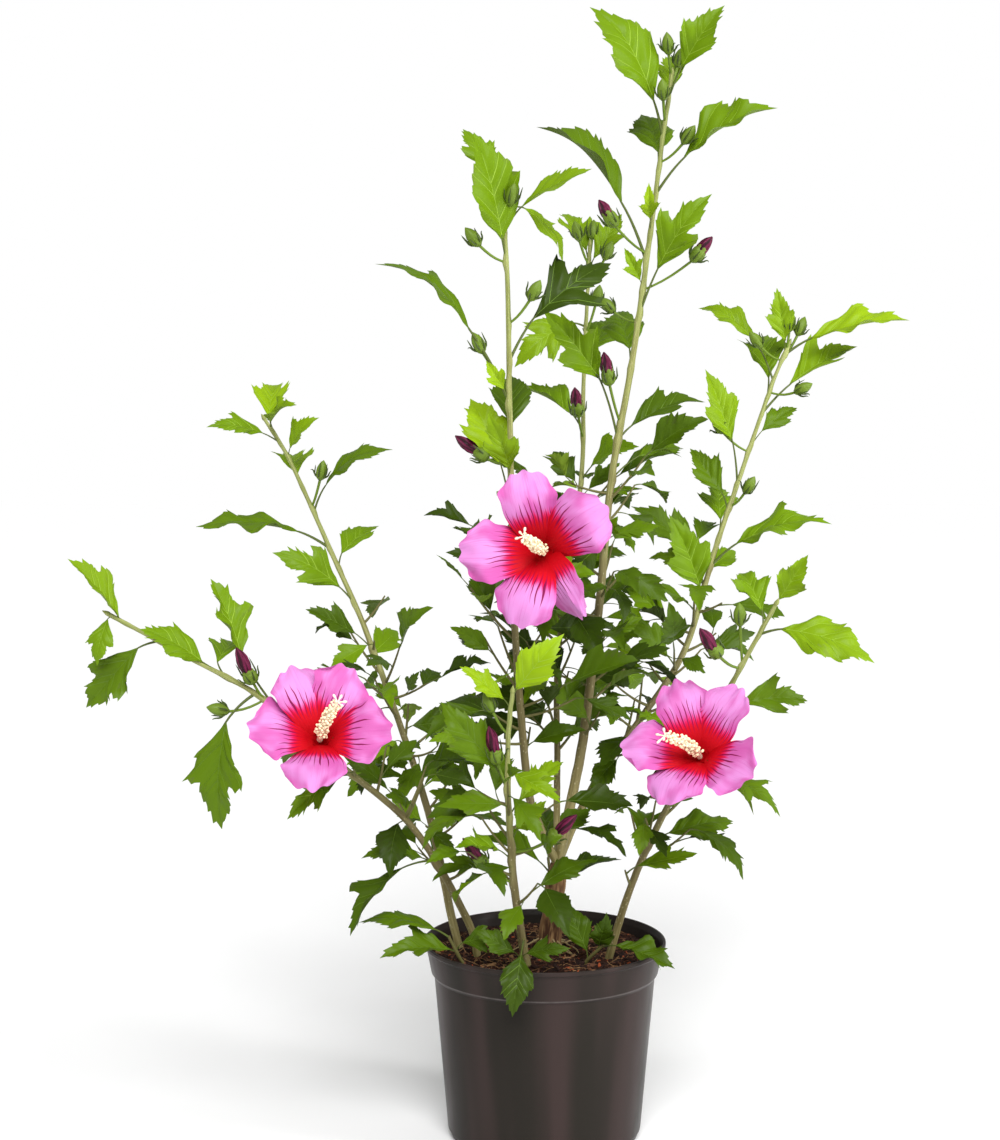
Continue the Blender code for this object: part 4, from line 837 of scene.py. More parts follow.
# ---------------------------------------------------------------- materials
class Finish:
    """A Principled material and short hand for the nodes that feed it."""

    def __init__(self, name, colour, roughness, **sockets):
        self.material = bpy.data.materials.new(name)
        self.material.use_nodes = True
        self.tree = self.material.node_tree
        self.shader = self.tree.nodes["Principled BSDF"]
        self.set(Base_Color=(*colour, 1), Roughness=roughness, **sockets)

    def feed(self, socket, value):
        """Joins the socket to another node's output, or sets it."""
        if isinstance(value, bpy.types.NodeSocket):
            self.tree.links.new(value, socket)
        else:
            socket.default_value = value

    def set(self, **sockets):
        """Feeds the shader's sockets."""
        for name, value in sockets.items():
            self.feed(self.shader.inputs[name.replace("_", " ")], value)

    def node(self, kind, feeds, **settings):
        """Node of this kind, its inputs fed by name or number."""
        made = self.tree.nodes.new("ShaderNode" + kind)
        for name, value in settings.items():
            setattr(made, name, value)
        for key, value in feeds.items():
            self.feed(made.inputs[key], value)
        return made

    def attribute(self, name):
        """The mesh's attribute: its vector for a grain, its number for an age."""
        made = self.node("Attribute", {}, attribute_name=name)
        return made.outputs["Fac" if name == "age" else "Vector"]

    def place(self):
        """The object's own coordinates."""
        return self.node("TexCoord", {}).outputs["Object"]

    def stretched(self, vector, x, y, z):
        """The vector scaled along its axes."""
        return self.node("Mapping", {"Vector": vector, "Scale": (x, y, z)}).outputs[0]

    def noise(self, vector, scale, detail):
        """Noise of about 0 to 1."""
        return self.node("TexNoise", {"Vector": vector, "Scale": scale, "Detail": detail}).outputs[0]

    def drawn_out(self, vector, scales, detail):
        """Noise of about 0 to 1 with a scale of its own along each axis."""
        return self.noise(self.stretched(vector, *scales), 1.0, detail)

    def maths(self, operation, first, second=0.0):
        """Result of an operation on two numbers."""
        return self.node("Math", {0: first, 1: second}, operation=operation).outputs[0]

    def plus(self, first, second):
        """Sum of two numbers."""
        return self.maths("ADD", first, second)

    def times(self, first, second):
        """Product of two numbers."""
        return self.maths("MULTIPLY", first, second)

    def part(self, vector, axis):
        """One coordinate of the vector, by the axis's number."""
        return self.node("SeparateXYZ", {0: vector}).outputs[axis]

    def ramp(self, value, low, high, start=0.0, end=1.0):
        """Smooth step from start at low to end at high."""
        feeds = {"Value": value, "From Min": low, "From Max": high, "To Min": start, "To Max": end}
        return self.node("MapRange", feeds, interpolation_type="SMOOTHSTEP").outputs[0]

    def mix(self, share, first, second):
        """Colour between the first and the second by share."""
        colours = [(*c, 1) if isinstance(c, tuple) else c for c in (first, second)]
        made = self.node("Mix", {0: share, 6: colours[0], 7: colours[1]}, data_type="RGBA")
        return made.outputs[2]

    def bump(self, height, distance, strength):
        """Raises the surface by height x distance, by this share of it."""
        feeds = {"Height": height, "Distance": distance, "Strength": strength}
        self.set(Normal=self.node("Bump", feeds).outputs[0])


def leaf_finishes():
    """Upper sides in each plain leaf colour, then their paler, duller under sides."""
    made = []
    for side, rough in (("upper", 0.40), ("under", 0.65)):
        for name, colour in LEAF_COLOURS.items():
            if side == "under":
                colour = tuple(0.62 * c + 0.38 * p * max(colour) / 0.5 for c, p in zip(colour, LEAF_PALING))
            leaf = Finish(f"leaf_{side}_{name}", colour, rough, Specular_IOR_Level=0.12)
            leaf.bump(leaf.noise(leaf.place(), 420, 3), 0.12 * MM, 0.5)
            made.append(leaf)
    return made


def stalk_finishes():
    """Leaf stalks, an olive green, and the paler ribs that run on into bright blades and into dark ones."""
    looks = (("leaf_stalk", (0.085, 0.115, 0.020), 0.25), ("leaf_rib", (0.27, 0.42, 0.035), 0.2),
             ("dark_leaf_rib", (0.11, 0.19, 0.018), 0.2))
    return [Finish(name, colour, 0.5, Specular_IOR_Level=shine) for name, colour, shine in looks]


def cane_finish():
    """Olive bark with pale streaks along it and pale pores, greener where it is young, brown where woody, and
    painted shade: dull dark brown in patches along its middle length, where leaves above shade it.
    """
    bark = Finish("cane_bark", (0.2, 0.17, 0.06), 0.6, Specular_IOR_Level=0.3)
    grain, age = bark.attribute("grain"), bark.attribute("age")
    streak = bark.drawn_out(grain, (900, 900, 45), 3)
    patch = bark.drawn_out(grain, (160, 160, 30), 2)
    young = bark.mix(bark.ramp(streak, 0.3, 0.7), (0.20, 0.23, 0.055), (0.33, 0.36, 0.12))
    old = bark.mix(bark.ramp(streak, 0.3, 0.7), (0.20, 0.165, 0.055), (0.32, 0.275, 0.11))
    ripe = bark.plus(age, bark.times(patch, 0.5))
    colour = bark.mix(bark.ramp(ripe, 0.3, 1.0), young, old)
    # Painted shade: dull dark brown in patches along the cane's middle length, standing in for the leaves' shadow
    painted_leaf_shade = bark.times(bark.ramp(ripe, 0.55, 0.85, 0.0, 0.62), bark.ramp(age, 0.76, 0.95, 1.0, 0.15))
    colour = bark.mix(painted_leaf_shade, colour, (0.085, 0.062, 0.024))
    cells = bark.node("TexVoronoi", {"Vector": bark.stretched(grain, 520, 520, 230), "Scale": 1.0})
    pore = bark.ramp(cells.outputs["Distance"], 0.12, 0.26, 1.0, 0.0)
    bark.set(Base_Color=bark.mix(bark.times(pore, 0.55), colour, (0.42, 0.38, 0.22)))
    bark.bump(bark.plus(streak, pore), 0.5 * MM, 0.4)
    return bark


def trunk_finish():
    """Brown, cracked bark with ochre and reddish patches."""
    bark = Finish("trunk_bark", (0.15, 0.09, 0.04), 0.85, Specular_IOR_Level=0.2)
    grain = bark.attribute("grain")
    streak = bark.drawn_out(grain, (420, 420, 60), 5)
    patch = bark.drawn_out(grain, (110, 110, 50), 2)
    brown = bark.mix(bark.ramp(patch, 0.4, 0.62), (0.065, 0.027, 0.013), (0.20, 0.105, 0.045))
    bark.set(Base_Color=bark.mix(bark.ramp(streak, 0.44, 0.68), brown, (0.32, 0.19, 0.085)))
    bark.bump(streak, 1.6 * MM, 0.8)
    return bark


def petal_finish():
    """Mauve pink petals that deepen in clouds and to their edges, a crimson eye, and thin dark lines that run out
    of it to uneven lengths."""
    petal = Finish("petal", (0.8, 0.25, 0.6), 0.55, Specular_IOR_Level=0.12)
    grain = petal.attribute("grain")
    v, t = petal.part(grain, 0), petal.part(grain, 1)
    cloud = petal.drawn_out(grain, (1.3, 1.5, 1.7), 2)
    thread = petal.drawn_out(grain, PETAL_THREADS, 2)
    bow = petal.maths("POWER", petal.maths("ABSOLUTE", v), 2.0)
    deep = petal.plus(petal.ramp(cloud, 0.34, 0.64, 0.9, 0.0), petal.times(bow, 0.30))
    deep = petal.plus(deep, petal.ramp(t, 0.30, 0.60, 0.45, 0.0))
    pink = petal.mix(petal.ramp(deep, 0.0, 1.15), (0.65, 0.245, 0.58), (0.54, 0.10, 0.36))
    pink = petal.mix(petal.ramp(thread, 0.5, 0.75, 0.0, 0.25), pink, (0.46, 0.05, 0.28))
    sway = petal.drawn_out(grain, (2.2, 3.0, 5.3), 1)
    beside = petal.plus(v, petal.ramp(sway, 0.2, 0.8, -0.05, 0.05))
    lines = petal.maths("COSINE", petal.times(beside, LINES_A_PETAL * pi))
    length = petal.drawn_out(grain, (5.5, 0.0, 2.3), 1)
    reach = petal.plus(t, petal.ramp(length, 0.3, 0.7, 0.10, -0.16))
    reach = petal.plus(reach, petal.times(bow, 0.10))
    line = petal.ramp(petal.maths("SUBTRACT", lines, petal.ramp(reach, 0.20, 0.68, 0.50, 1.03)), 0.0, 0.15)
    feather = petal.plus(t, petal.ramp(thread, 0.3, 0.7, 0.04, -0.04))
    glow = petal.mix(petal.ramp(feather, 0.33, 0.44), (0.62, 0.010, 0.10), pink)
    eye = petal.mix(petal.ramp(t, 0.0, 0.30), (0.38, 0.0, 0.003), (0.55, 0.002, 0.012))
    whole = petal.mix(petal.ramp(feather, 0.27, 0.37), eye, glow)
    inked = petal.times(line, petal.ramp(t, 0.16, 0.36, 0.0, 0.95))
    petal.set(Base_Color=petal.mix(inked, whole, (0.18, 0.001, 0.045)))
    petal.bump(thread, 0.5 * MM, 0.6)
    return petal


def petal_back_finish():
    """Under side of a petal: duller mauve with rose veins that run out of a reddish claw."""
    back = Finish("petal_back", (0.55, 0.16, 0.42), 0.6, Specular_IOR_Level=0.1)
    grain = back.attribute("grain")
    along = back.part(grain, 1)
    vein = back.drawn_out(grain, PETAL_THREADS, 2)
    pink = back.mix(back.ramp(vein, 0.45, 0.70, 0.0, 0.5), (0.60, 0.20, 0.50), (0.44, 0.06, 0.27))
    claw = back.mix(back.ramp(vein, 0.40, 0.60), (0.46, 0.045, 0.16), (0.34, 0.012, 0.06))
    back.set(Base_Color=back.mix(back.ramp(along, 0.02, 0.42), claw, pink))
    return back


def furl_finish():
    """Furled petals of a ripe bud: dark maroon, streaked with rose along the twist."""
    furl = Finish("furled_petals", (0.13, 0.01, 0.04), 0.5, Specular_IOR_Level=0.2)
    streak = furl.drawn_out(furl.attribute("grain"), (620, 620, 55), 3)
    furl.set(Base_Color=furl.mix(furl.ramp(streak, 0.42, 0.66), (0.022, 0.002, 0.007), (0.16, 0.012, 0.055)))
    furl.bump(streak, 0.8 * MM, 0.7)
    return furl


def pot_finish():
    """Dark brown moulded plastic, satin, with faint upright bands, partly moulding marks and partly painted sheen,
    scuff marks in its roughness, and a painted highlight: a pale line of colour under the rim band."""
    plastic = Finish("pot_plastic", (0.03, 0.024, 0.022), 0.36, Specular_IOR_Level=0.07)
    place = plastic.place()
    # Upright bands of darker and lighter brown: partly moulding flow marks, partly painted sheen of the lights'
    # reflections
    band = plastic.drawn_out(place, (24, 24, 1.0), 2)
    rub_and_highlight_noise = plastic.drawn_out(place, (90, 90, 30), 3)
    colour = plastic.mix(plastic.ramp(band, 0.36, 0.64), (0.0195, 0.0168, 0.0138), (0.0385, 0.0262, 0.0245))
    # Painted highlight: a pale line of colour under the rim band, standing in for light caught on its rounded foot,
    # broken up by noise
    off_line = plastic.maths("ABSOLUTE", plastic.maths("SUBTRACT", plastic.part(place, 2), PAINTED_HIGHLIGHT_HEIGHT))
    painted_highlight = plastic.times(plastic.ramp(off_line, 0.3 * MM, 1.1 * MM, 1.0, 0.0),
                           plastic.ramp(rub_and_highlight_noise, 0.25, 0.7, 0.45, 1.0))
    # the painted highlight's pale colour
    colour = plastic.mix(painted_highlight, colour, (0.095, 0.081, 0.078))
    plastic.set(Base_Color=colour, Roughness=plastic.ramp(rub_and_highlight_noise, 0.3, 0.75, 0.29, 0.37))
    plastic.bump(plastic.noise(place, 900, 2), 0.12 * MM, 0.35)
    return plastic


def compost_finish():
    """Dark, damp peat in uneven reddish browns."""
    peat = Finish("compost", (0.04, 0.02, 0.012), 0.92, Specular_IOR_Level=0.15)
    place = peat.place()
    crumb = peat.noise(place, 260, 6)
    patch = peat.noise(place, 40, 3)
    dark = peat.mix(peat.ramp(patch, 0.35, 0.65), (0.010, 0.004, 0.003), (0.034, 0.012, 0.007))
    peat.set(Base_Color=peat.mix(peat.ramp(crumb, 0.50, 0.74), dark, (0.085, 0.031, 0.017)))
    peat.bump(crumb, 2.2 * MM, 1.0)
    return peat


def plain(name, colour, roughness, grain_scale=500):
    """One colour with a fine grain."""
    made = Finish(name, colour, roughness, Specular_IOR_Level=0.3)
    made.bump(made.noise(made.place(), grain_scale, 3), 0.3 * MM, 0.6)
    return made


# ---------------------------------------------------------------- leaves
def blade_points(leaf, rng, rows, columns, lobed_share):
    """Grid of a blade. A row runs straight from the midrib to its end on the margin, which lies between the
    lobed leaf's and the broad one's by a share of its own on each side; teeth vary. The halves puff up between
    the veins, curl, and wave at the margin; the tip hooks down and the whole may bend sideways."""
    table = np.array(MARGIN)
    u, v = table[rows, 0][:, None], np.array(columns)[None, :]
    drawn, uneven = rng.uniform(*LOBED), rng.uniform(-LOBED_UNEVEN, LOBED_UNEVEN, 2)
    lobed = (drawn if lobed_share is None else lobed_share) + uneven
    teeth = np.zeros((len(table), 2))
    teeth[list(TIP_ROWS)] = rng.normal(0, TEETH_VARY, (len(TIP_ROWS), 2))
    ends = []
    for half in range(2):
        margin = lobed[half] * table[:, 1:3] + (1 - lobed[half]) * table[:, 3:5]
        ends.append(margin * (1 + np.column_stack([teeth[:, half] * 0.3, teeth[:, half]])))
    ends = np.stack(ends)[:, rows]
    half = (v > 0).astype(int)
    at = np.arange(len(rows))[:, None]
    along, out = ends[half, at, 0], ends[half, at, 1] * (LEAF_BREADTH - TWISTED_NARROWER * abs(leaf.twist))
    reach = np.maximum(out, 1e-6)
    points = leaf.surface(u, v, reach, (along - u) / reach)
    far = np.abs(v)
    here = u + far * (along - u)
    phase = np.interp(np.array(rows), VEIN_ROWS, np.arange(len(VEIN_ROWS)))[:, None]
    puff = PUFF * np.sin(pi * phase) ** 2 * 4 * far * (1 - far) * np.minimum(1, 6 * out)
    curl = rng.uniform(*CURL) * out * far ** 2 + rng.uniform(-LOPSIDED, LOPSIDED) * out * v
    turns, start = rng.uniform(*WAVES), rng.uniform(0, 2 * pi, 2)
    wave = rng.uniform(*WAVE_HEIGHT) * np.sin(2 * pi * turns * here + start[half]) * far ** 1.5
    wave = wave * np.minimum(1, 5 * out)
    hook = -rng.uniform(0.0, HOOK) * np.maximum(here - 0.5, 0) ** 2
    lift = puff + curl + wave + hook
    sway = rng.uniform(-SIDEWAYS, SIDEWAYS) * here ** 2
    return points + leaf.length * (lift[..., None] * leaf.normal + sway[..., None] * leaf.side)


def add_leaf(blades, stalks, leaf, rng, colour, lobed):
    """Blade, stalk and ribs of a leaf. The stalk is a bent tube that thins and runs on as the midrib."""
    rows = list(range(len(MARGIN))) if leaf.planned else list(PLAIN_ROWS)
    columns = FINE_COLUMNS if leaf.planned else PLAIN_COLUMNS
    points = blade_points(leaf, rng, rows, columns, lobed)
    add_skin(blades, points, -BLADE_THICK * leaf.normal, True, (colour, colour + len(LEAF_COLOURS)))
    t = np.linspace(0, 1, 7)[:, None]
    pull = 2 * leaf.knee - (leaf.root + leaf.base) / 2
    stem = (1 - t) ** 2 * leaf.root + 2 * t * (1 - t) * pull + t ** 2 * leaf.base
    middle = points[3:-2:2, len(columns) // 2]
    size = leaf.length / LEAF_SCALE
    radii = np.r_[np.linspace(1.0, 0.62, len(stem)), np.linspace(1.0, 0.3, len(middle)) * RIB_RADIUS / MM]
    rib = 1 if colour < 3 else 2
    look = np.r_[np.zeros(len(stem), int), np.full(len(middle), rib)]
    add_tube(stalks, np.vstack([stem, middle]), radii * MM * size, 5, look)
    if leaf.planned:
        for row in RIB_ROWS:
            for half in (points[row, 4:], points[row, 4::-1]):
                add_tube(stalks, half, np.array([0.30, 0.28, 0.24, 0.18, 0.08]) * MM * size, 3, rib)


# ---------------------------------------------------------------- canes and twigs
def add_cane(pile, cane, scars):
    """Cane whose radius swells at each scar, most on the side where the leaf stands, and is ridged and knobbly
    between them. A small leaf bud ends it, and one that leaves the compost starts a little below it."""
    share = np.linspace(0, 1, int(RUNS[cane] / CANE_STEP))
    line = along_cane(cane, share)
    if cane not in FORK_CANES:
        line[0] -= 4 * MM * unit(line[1] - line[0])
    rays = spokes(line, CANE_SIDES)
    radii = np.repeat(cane_radius(cane, share)[:, None], CANE_SIDES, axis=1)
    for place, bearing in scars:
        near = np.exp(-((share - place) * RUNS[cane] / SCAR_LENGTH) ** 2)[:, None]
        radii *= 1 + SCAR_SWELL * near * (0.45 + 0.55 * rays @ heading(bearing, 0))
    radii *= 1 + 0.025 * np.cos(5 * corner_angles(CANE_SIDES) + 9 * share[:, None])
    radii *= 1 + 0.05 * ripple(line[:, None] + radii[..., None] * rays, 11 * MM, 3)
    if cane in FOOT_CANES:
        add_tube(pile, line, FOOT_CANE_THINNER * radii, CANE_SIDES, 3, 0.0, rays)
        return
    add_tube(pile, line, radii, CANE_SIDES, 0, 1 - share ** 0.8, rays)
    t = np.linspace(0, 1, len(TIP_BUD_RADII))[:, None]
    tip_bud = line[-1] + (t * 7 - 1) * MM * unit(line[-1] - line[-4])
    add_tube(pile, tip_bud, np.array(TIP_BUD_RADII) * MM, 6)


def add_shoot(pile, shoot):
    """Side twig that thins to its end."""
    add_tube(pile, shoot.line, np.linspace(1.3, 0.7, len(shoot.line)) * MM, 6, 3)


def add_trunk(pile):
    """Woody base: the profile carried along the leaning line, with buttresses that fade above the foot, long
    folds and knobbly bark."""
    heights, sizes = np.array(TRUNK_PROFILE).T * MM
    z = np.linspace(heights[0], heights[-1], 64)
    share = (z - heights[1]) / (FORK[2] * MM - heights[1])
    foot, fork = np.array(TRUNK_FOOT) * MM, np.array(FORK[:2]) * MM
    line = np.column_stack([foot + share[:, None] * (fork - foot), z])
    rays, angle = spokes(line, TRUNK_SIDES), corner_angles(TRUNK_SIDES)
    radii = np.interp(z, heights, sizes)[:, None]
    radii = radii * (1 + 0.14 * np.exp(-(z[:, None] - SOIL_TOP) / (7 * MM)) * np.cos(5 * angle + 0.7))
    radii = radii * (1 + 0.05 * np.cos(3 * angle + 25 * z[:, None]))
    radii *= 1 + 0.07 * ripple(line[:, None] + radii[..., None] * rays, 9 * MM, 5)
    add_tube(pile, line, radii, TRUNK_SIDES, 1, 1.0, rays)


def add_surface_roots(pile):
    """Thin pale roots that leave the trunk's foot and wander out over the compost before they dip into it."""
    rng = np.random.default_rng(SEED + 5)
    for k in range(SURFACE_ROOTS):
        bearing, reach = 2 * pi * (k + rng.uniform(-0.3, 0.3)) / SURFACE_ROOTS, rng.uniform(16, 34) * MM
        t = np.linspace(0, 1, 14)
        turn = bearing + rng.uniform(-0.9, 0.9) * t ** 1.5
        out = 8 * MM + reach * t
        high = SOIL_TOP + (rng.uniform(2, 9) * (1 - t) ** 2 + 3.4 - 5.5 * t ** 3) * MM
        line = np.stack([3 * MM + out * np.cos(turn), out * np.sin(turn), high], axis=1)
        line += 0.9 * MM * np.stack([ripple(line, 8 * MM, k + j) for j in range(3)], axis=1)
        add_tube(pile, line, np.linspace(0.95, 0.35, 14) * MM * rng.uniform(0.6, 1.1), 6, 2, 1.0)


# ---------------------------------------------------------------- buds
def add_turned(pile, root, axis, far, radii, look):
    """Rings about an axis through the root, at these distances along it, with a radius for each point."""
    line, sides = root + far[:, None] * axis, radii.shape[1]
    rays = rays_about(line[0], axis, sides).repeat(len(line), axis=0)
    add_tube(pile, line, radii, sides, look, 0.0, rays)


def add_bracts(pile, root, axis, girth, length, rng):
    """Narrow bracts that hug a bud or a cup, then curl away from it at their tips."""
    right, up = (side[0] for side in across(np.array([root, root + axis])))
    for k in range(BRACTS):
        angle = 2 * pi * (k + rng.uniform(-0.2, 0.2)) / BRACTS
        out = cos(angle) * right + sin(angle) * up
        t = np.linspace(0, 1, len(BRACT_RADII))[:, None]
        curl, size = rng.uniform(-0.8, 4.5), rng.uniform(0.9, 1.35)
        wide = girth * (0.25 + 0.95 * step(t, 0, 0.4)) + curl * MM * t ** 2
        line = root + wide * out + (t - 0.12 * t ** 3 * curl) * length * size * axis
        add_tube(pile, line, np.array(BRACT_RADII) * MM, 4, 1)


def add_bud(pile, bud, rng):
    """Stalk, ridged calyx and bracts. A ripe bud's calyx stands open round its furled petals."""
    axis, long, girth = unit(bud.end - bud.neck), np.linalg.norm(bud.end - bud.neck), BUD_GIRTH * bud.size
    t = np.linspace(0, 1, 6)[:, None]
    stem = bud.root + (bud.neck - bud.root) * t + 2 * MM * np.sin(pi * t) * np.array([0, 0, -1.0])
    add_tube(pile, stem, np.linspace(0.95, 1.15, 6) * MM, 6, 0)
    share = np.linspace(0, 1, 15)
    angle = corner_angles(BUD_SIDES)
    green = girth * np.interp(share, BUD_SHARES, BUD_RADII)[:, None]
    green = green * (1 + 0.07 * np.cos(5 * angle) - 0.05 * np.abs(np.cos(2.5 * angle)) ** 12)
    far = share * long * (1 - 0.34 * bud.ripe)
    if bud.ripe:
        green = green * np.where(share > 0.75, 1.25, 1.0)[:, None]
    add_turned(pile, bud.neck, axis, far, green, 0)
    if bud.ripe:
        share = np.linspace(FURL_SHARES[0], 1.0, 16)
        red = girth * np.interp(share, FURL_SHARES, FURL_RADII)
        red = red[:, None] * (1 + 0.20 * np.cos(5 * angle + 6 * share[:, None]))
        add_turned(pile, bud.neck, axis, share * long * (1.0 + 0.5 * bud.ripe), red, 2)
    add_bracts(pile, bud.neck, axis, girth, 13 * MM * bud.size, rng)


# ---------------------------------------------------------------- blooms
def petal_points(bloom, bearing, spread, rng, curled):
    """Grid of a petal over the rule's surface: the edge is frilled, the end shallowly notched, and fine
    furrows run out from the claw. A curled petal is drawn narrow and folds back."""
    t, v = np.linspace(THROAT, 1, PETAL_ROWS)[:, None], np.linspace(-1, 1, PETAL_COLUMNS)[None, :]
    points = bloom.petal(bearing, t, v * (EYE_SPREAD + (spread - EYE_SPREAD) * step(t, 0.15, 0.55)))
    phase = rng.uniform(0, 2 * pi, 4)
    frill = 3.0 * t ** 2 * np.abs(v) ** 1.6 * np.sin(2 * pi * 1.7 * t + 2.2 * v + phase[0])
    hem = 1.5 * step(t, 0.7, 1.0) * np.sin(pi * 2.6 * v + phase[1])
    belly = 4.0 * np.sin(pi * t ** 1.3) * (1 - v ** 2) * cos(phase[2]) + 4.5 * t ** 2 * v * sin(phase[2])
    furrow = 0.22 * np.cos(2 * pi * 6.5 * v) * t * (1 - t) * 4
    droop = -3.5 * step(t, 0.55, 1.0)
    ahead = (frill + hem + belly + furrow + droop) * MM
    out, side = bloom.ways(bearing)
    cut = -2.4 * step(t, 0.7, 1.0) * (0.5 + 0.5 * np.cos(2 * pi * 1.4 * v + phase[3])) * MM
    scallop = 1.3 * np.sin(2 * pi * 2.3 * t + phase[2] + v) * v * np.abs(v) * step(t, 0.3, 0.6) * MM
    points = points + ahead[..., None] * bloom.axis + cut[..., None] * out + scallop[..., None] * side
    if curled:
        half = PETAL_COLUMNS // 2
        lean = (points - points[:, half:half + 1]) @ side
        points = points - (lean * 0.58 * t)[..., None] * side
        points = points - (1.0 * np.maximum(-lean, 0) * t + 16 * MM * t ** 2)[..., None] * bloom.axis
    return points, np.stack(np.broadcast_arrays(v, t, phase[0]), axis=-1)


def add_throat(pile, bloom):
    """Crimson cone that closes the petals' funnel round the column's foot."""
    heights, widths = np.array(THROAT_PROFILE).T * MM * bloom.scale
    rays = rays_about(bloom.cup, bloom.axis, THROAT_SIDES)
    points = bloom.cup + heights[:, None, None] * bloom.axis + widths[:, None, None] * rays
    add_shell(pile, points, -0.4 * MM * bloom.axis)


def add_anthers(pile, line, rng):
    """Small pollen-covered beads on short threads all round the column, by the golden angle."""
    share = np.linspace(ANTHERS_FROM, 0.97, ANTHERS)
    place = points_at(line, np.linspace(0, 1, len(line)), share)
    right, up = across(place)
    for k in range(ANTHERS):
        angle = radians(GOLDEN) * k + rng.uniform(-0.2, 0.2)
        out = unit(cos(angle) * right[k] + sin(angle) * up[k] + 0.15 * rng.normal(size=3))
        far = rng.uniform(3.0, 5.0) * MM * (1.12 - 0.3 * share[k])
        t = np.linspace(0, 1, 5)[:, None]
        bead = place[k] + (far + (t - 0.5) * 1.9 * MM) * out
        add_tube(pile, bead, np.array(BEAD_RADII) * MM * rng.uniform(0.85, 1.15), 6, 0)
        add_tube(pile, place[k] + t[::2] * far * out, np.array([0.3, 0.25, 0.25]) * MM, 3, 1)


def add_column(pile, bloom, rng):
    """The staminal column: a leaning tube, beads on its outer part, and five style arms that spread from its
    end, each with a round tip."""
    t = np.linspace(0, 1, 16)
    line = bloom.column(t)
    add_tube(pile, line, np.interp(t, (0, 0.3, 0.7, 1), (2.2, 1.7, 1.9, 0.8)) * MM, 10, 1)
    add_anthers(pile, line, rng)
    ahead = unit(line[-1] - line[-3])
    right, up = (side[-1] for side in across(line))
    for k in range(STYLE_ARMS):
        angle = 2 * pi * k / STYLE_ARMS + rng.uniform(-0.2, 0.2)
        out = cos(angle) * right + sin(angle) * up
        s = np.linspace(0, 1, len(ARM_RADII))[:, None]
        arm = line[-1] + (s * ahead * rng.uniform(2.5, 4.5) + s ** 1.5 * out * rng.uniform(4.5, 7)) * MM
        add_tube(pile, arm, np.array(ARM_RADII) * MM, 6, 1)


def add_cup(pile, bloom, rng):
    """Stalk, cup and its five pointed sepals, which stand out behind the petals, with bracts below."""
    add_tube(pile, bloom.stalk, np.full(len(bloom.stalk), 1.35) * MM, 8, 0)
    heights, widths = np.array(CUP_PROFILE).T * MM * bloom.scale
    sepal = np.abs(np.cos(2.5 * corner_angles(CUP_SIDES))) ** 0.8
    edge = np.arange(len(widths)) - CUP_EDGE
    share = np.where(edge[:, None] > 0, 1 - (1 - sepal) ** (1 / np.maximum(edge[:, None], 1)), 1)
    wide = widths[CUP_EDGE] + share * (widths[:, None] - widths[CUP_EDGE])
    far = heights[CUP_EDGE] + share * (heights[:, None] - heights[CUP_EDGE])
    rays = rays_about(bloom.cup, bloom.axis, CUP_SIDES)
    points = bloom.cup + far[..., None] * bloom.axis + wide[..., None] * rays
    add_shell(pile, points, 0.5 * MM * bloom.axis - 0.3 * MM * rays)
    add_bracts(pile, bloom.cup - 11 * MM * bloom.axis, bloom.axis, 8.4 * MM * bloom.scale, 15 * MM, rng)


def add_shell(pile, points, inward):
    """Round wall with two sides: the rings, then the same rings moved inward, in reverse; closed at its foot."""
    rows, columns = points.shape[:2]
    both = np.vstack([points.reshape(-1, 3), (points + inward)[::-1].reshape(-1, 3)])
    index = np.arange(2 * rows * columns).reshape(2 * rows, columns)
    foot, back = 2 * rows * columns, 2 * rows * columns + 1
    both = np.vstack([both, points[0].mean(axis=0), (points + inward)[0].mean(axis=0)])
    index = np.vstack([np.full(columns, foot), index, np.full(columns, back)])
    pile.add(both, faces_of(index, wrap=True))


# ---------------------------------------------------------------- pot and compost
def turned(pile, profile, sides):
    """Profile of (radius, height) turned about the Z axis, closed by a point at either end."""
    radii, heights = np.array(profile).T
    line = np.column_stack([0 * heights, 0 * heights, heights])
    angle = corner_angles(sides)
    ring = np.stack([np.cos(angle), np.sin(angle), 0 * angle], axis=1)
    points = line[:, None] + radii[:, None, None] * ring
    pile.add(points, faces_of(capped(len(line), sides), wrap=True))


def rounded(corners):
    """Profile with each inner corner (radius, height, fillet) replaced by a curve: a quadratic from the point
    fillet before the corner to the point fillet after it, pulled to the corner."""
    made = [np.array(corners[0][:2])]
    for before, here, after in zip(corners, corners[1:], corners[2:]):
        a, b, c = (np.array(corner[:2], float) for corner in (before, here, after))
        start, end = b + here[2] * MM * unit(a - b), b + here[2] * MM * unit(c - b)
        t = np.linspace(0, 1, 5)[:, None]
        made.extend((1 - t) ** 2 * start + 2 * t * (1 - t) * b + t ** 2 * end)
    return made + [np.array(corners[-1][:2])]


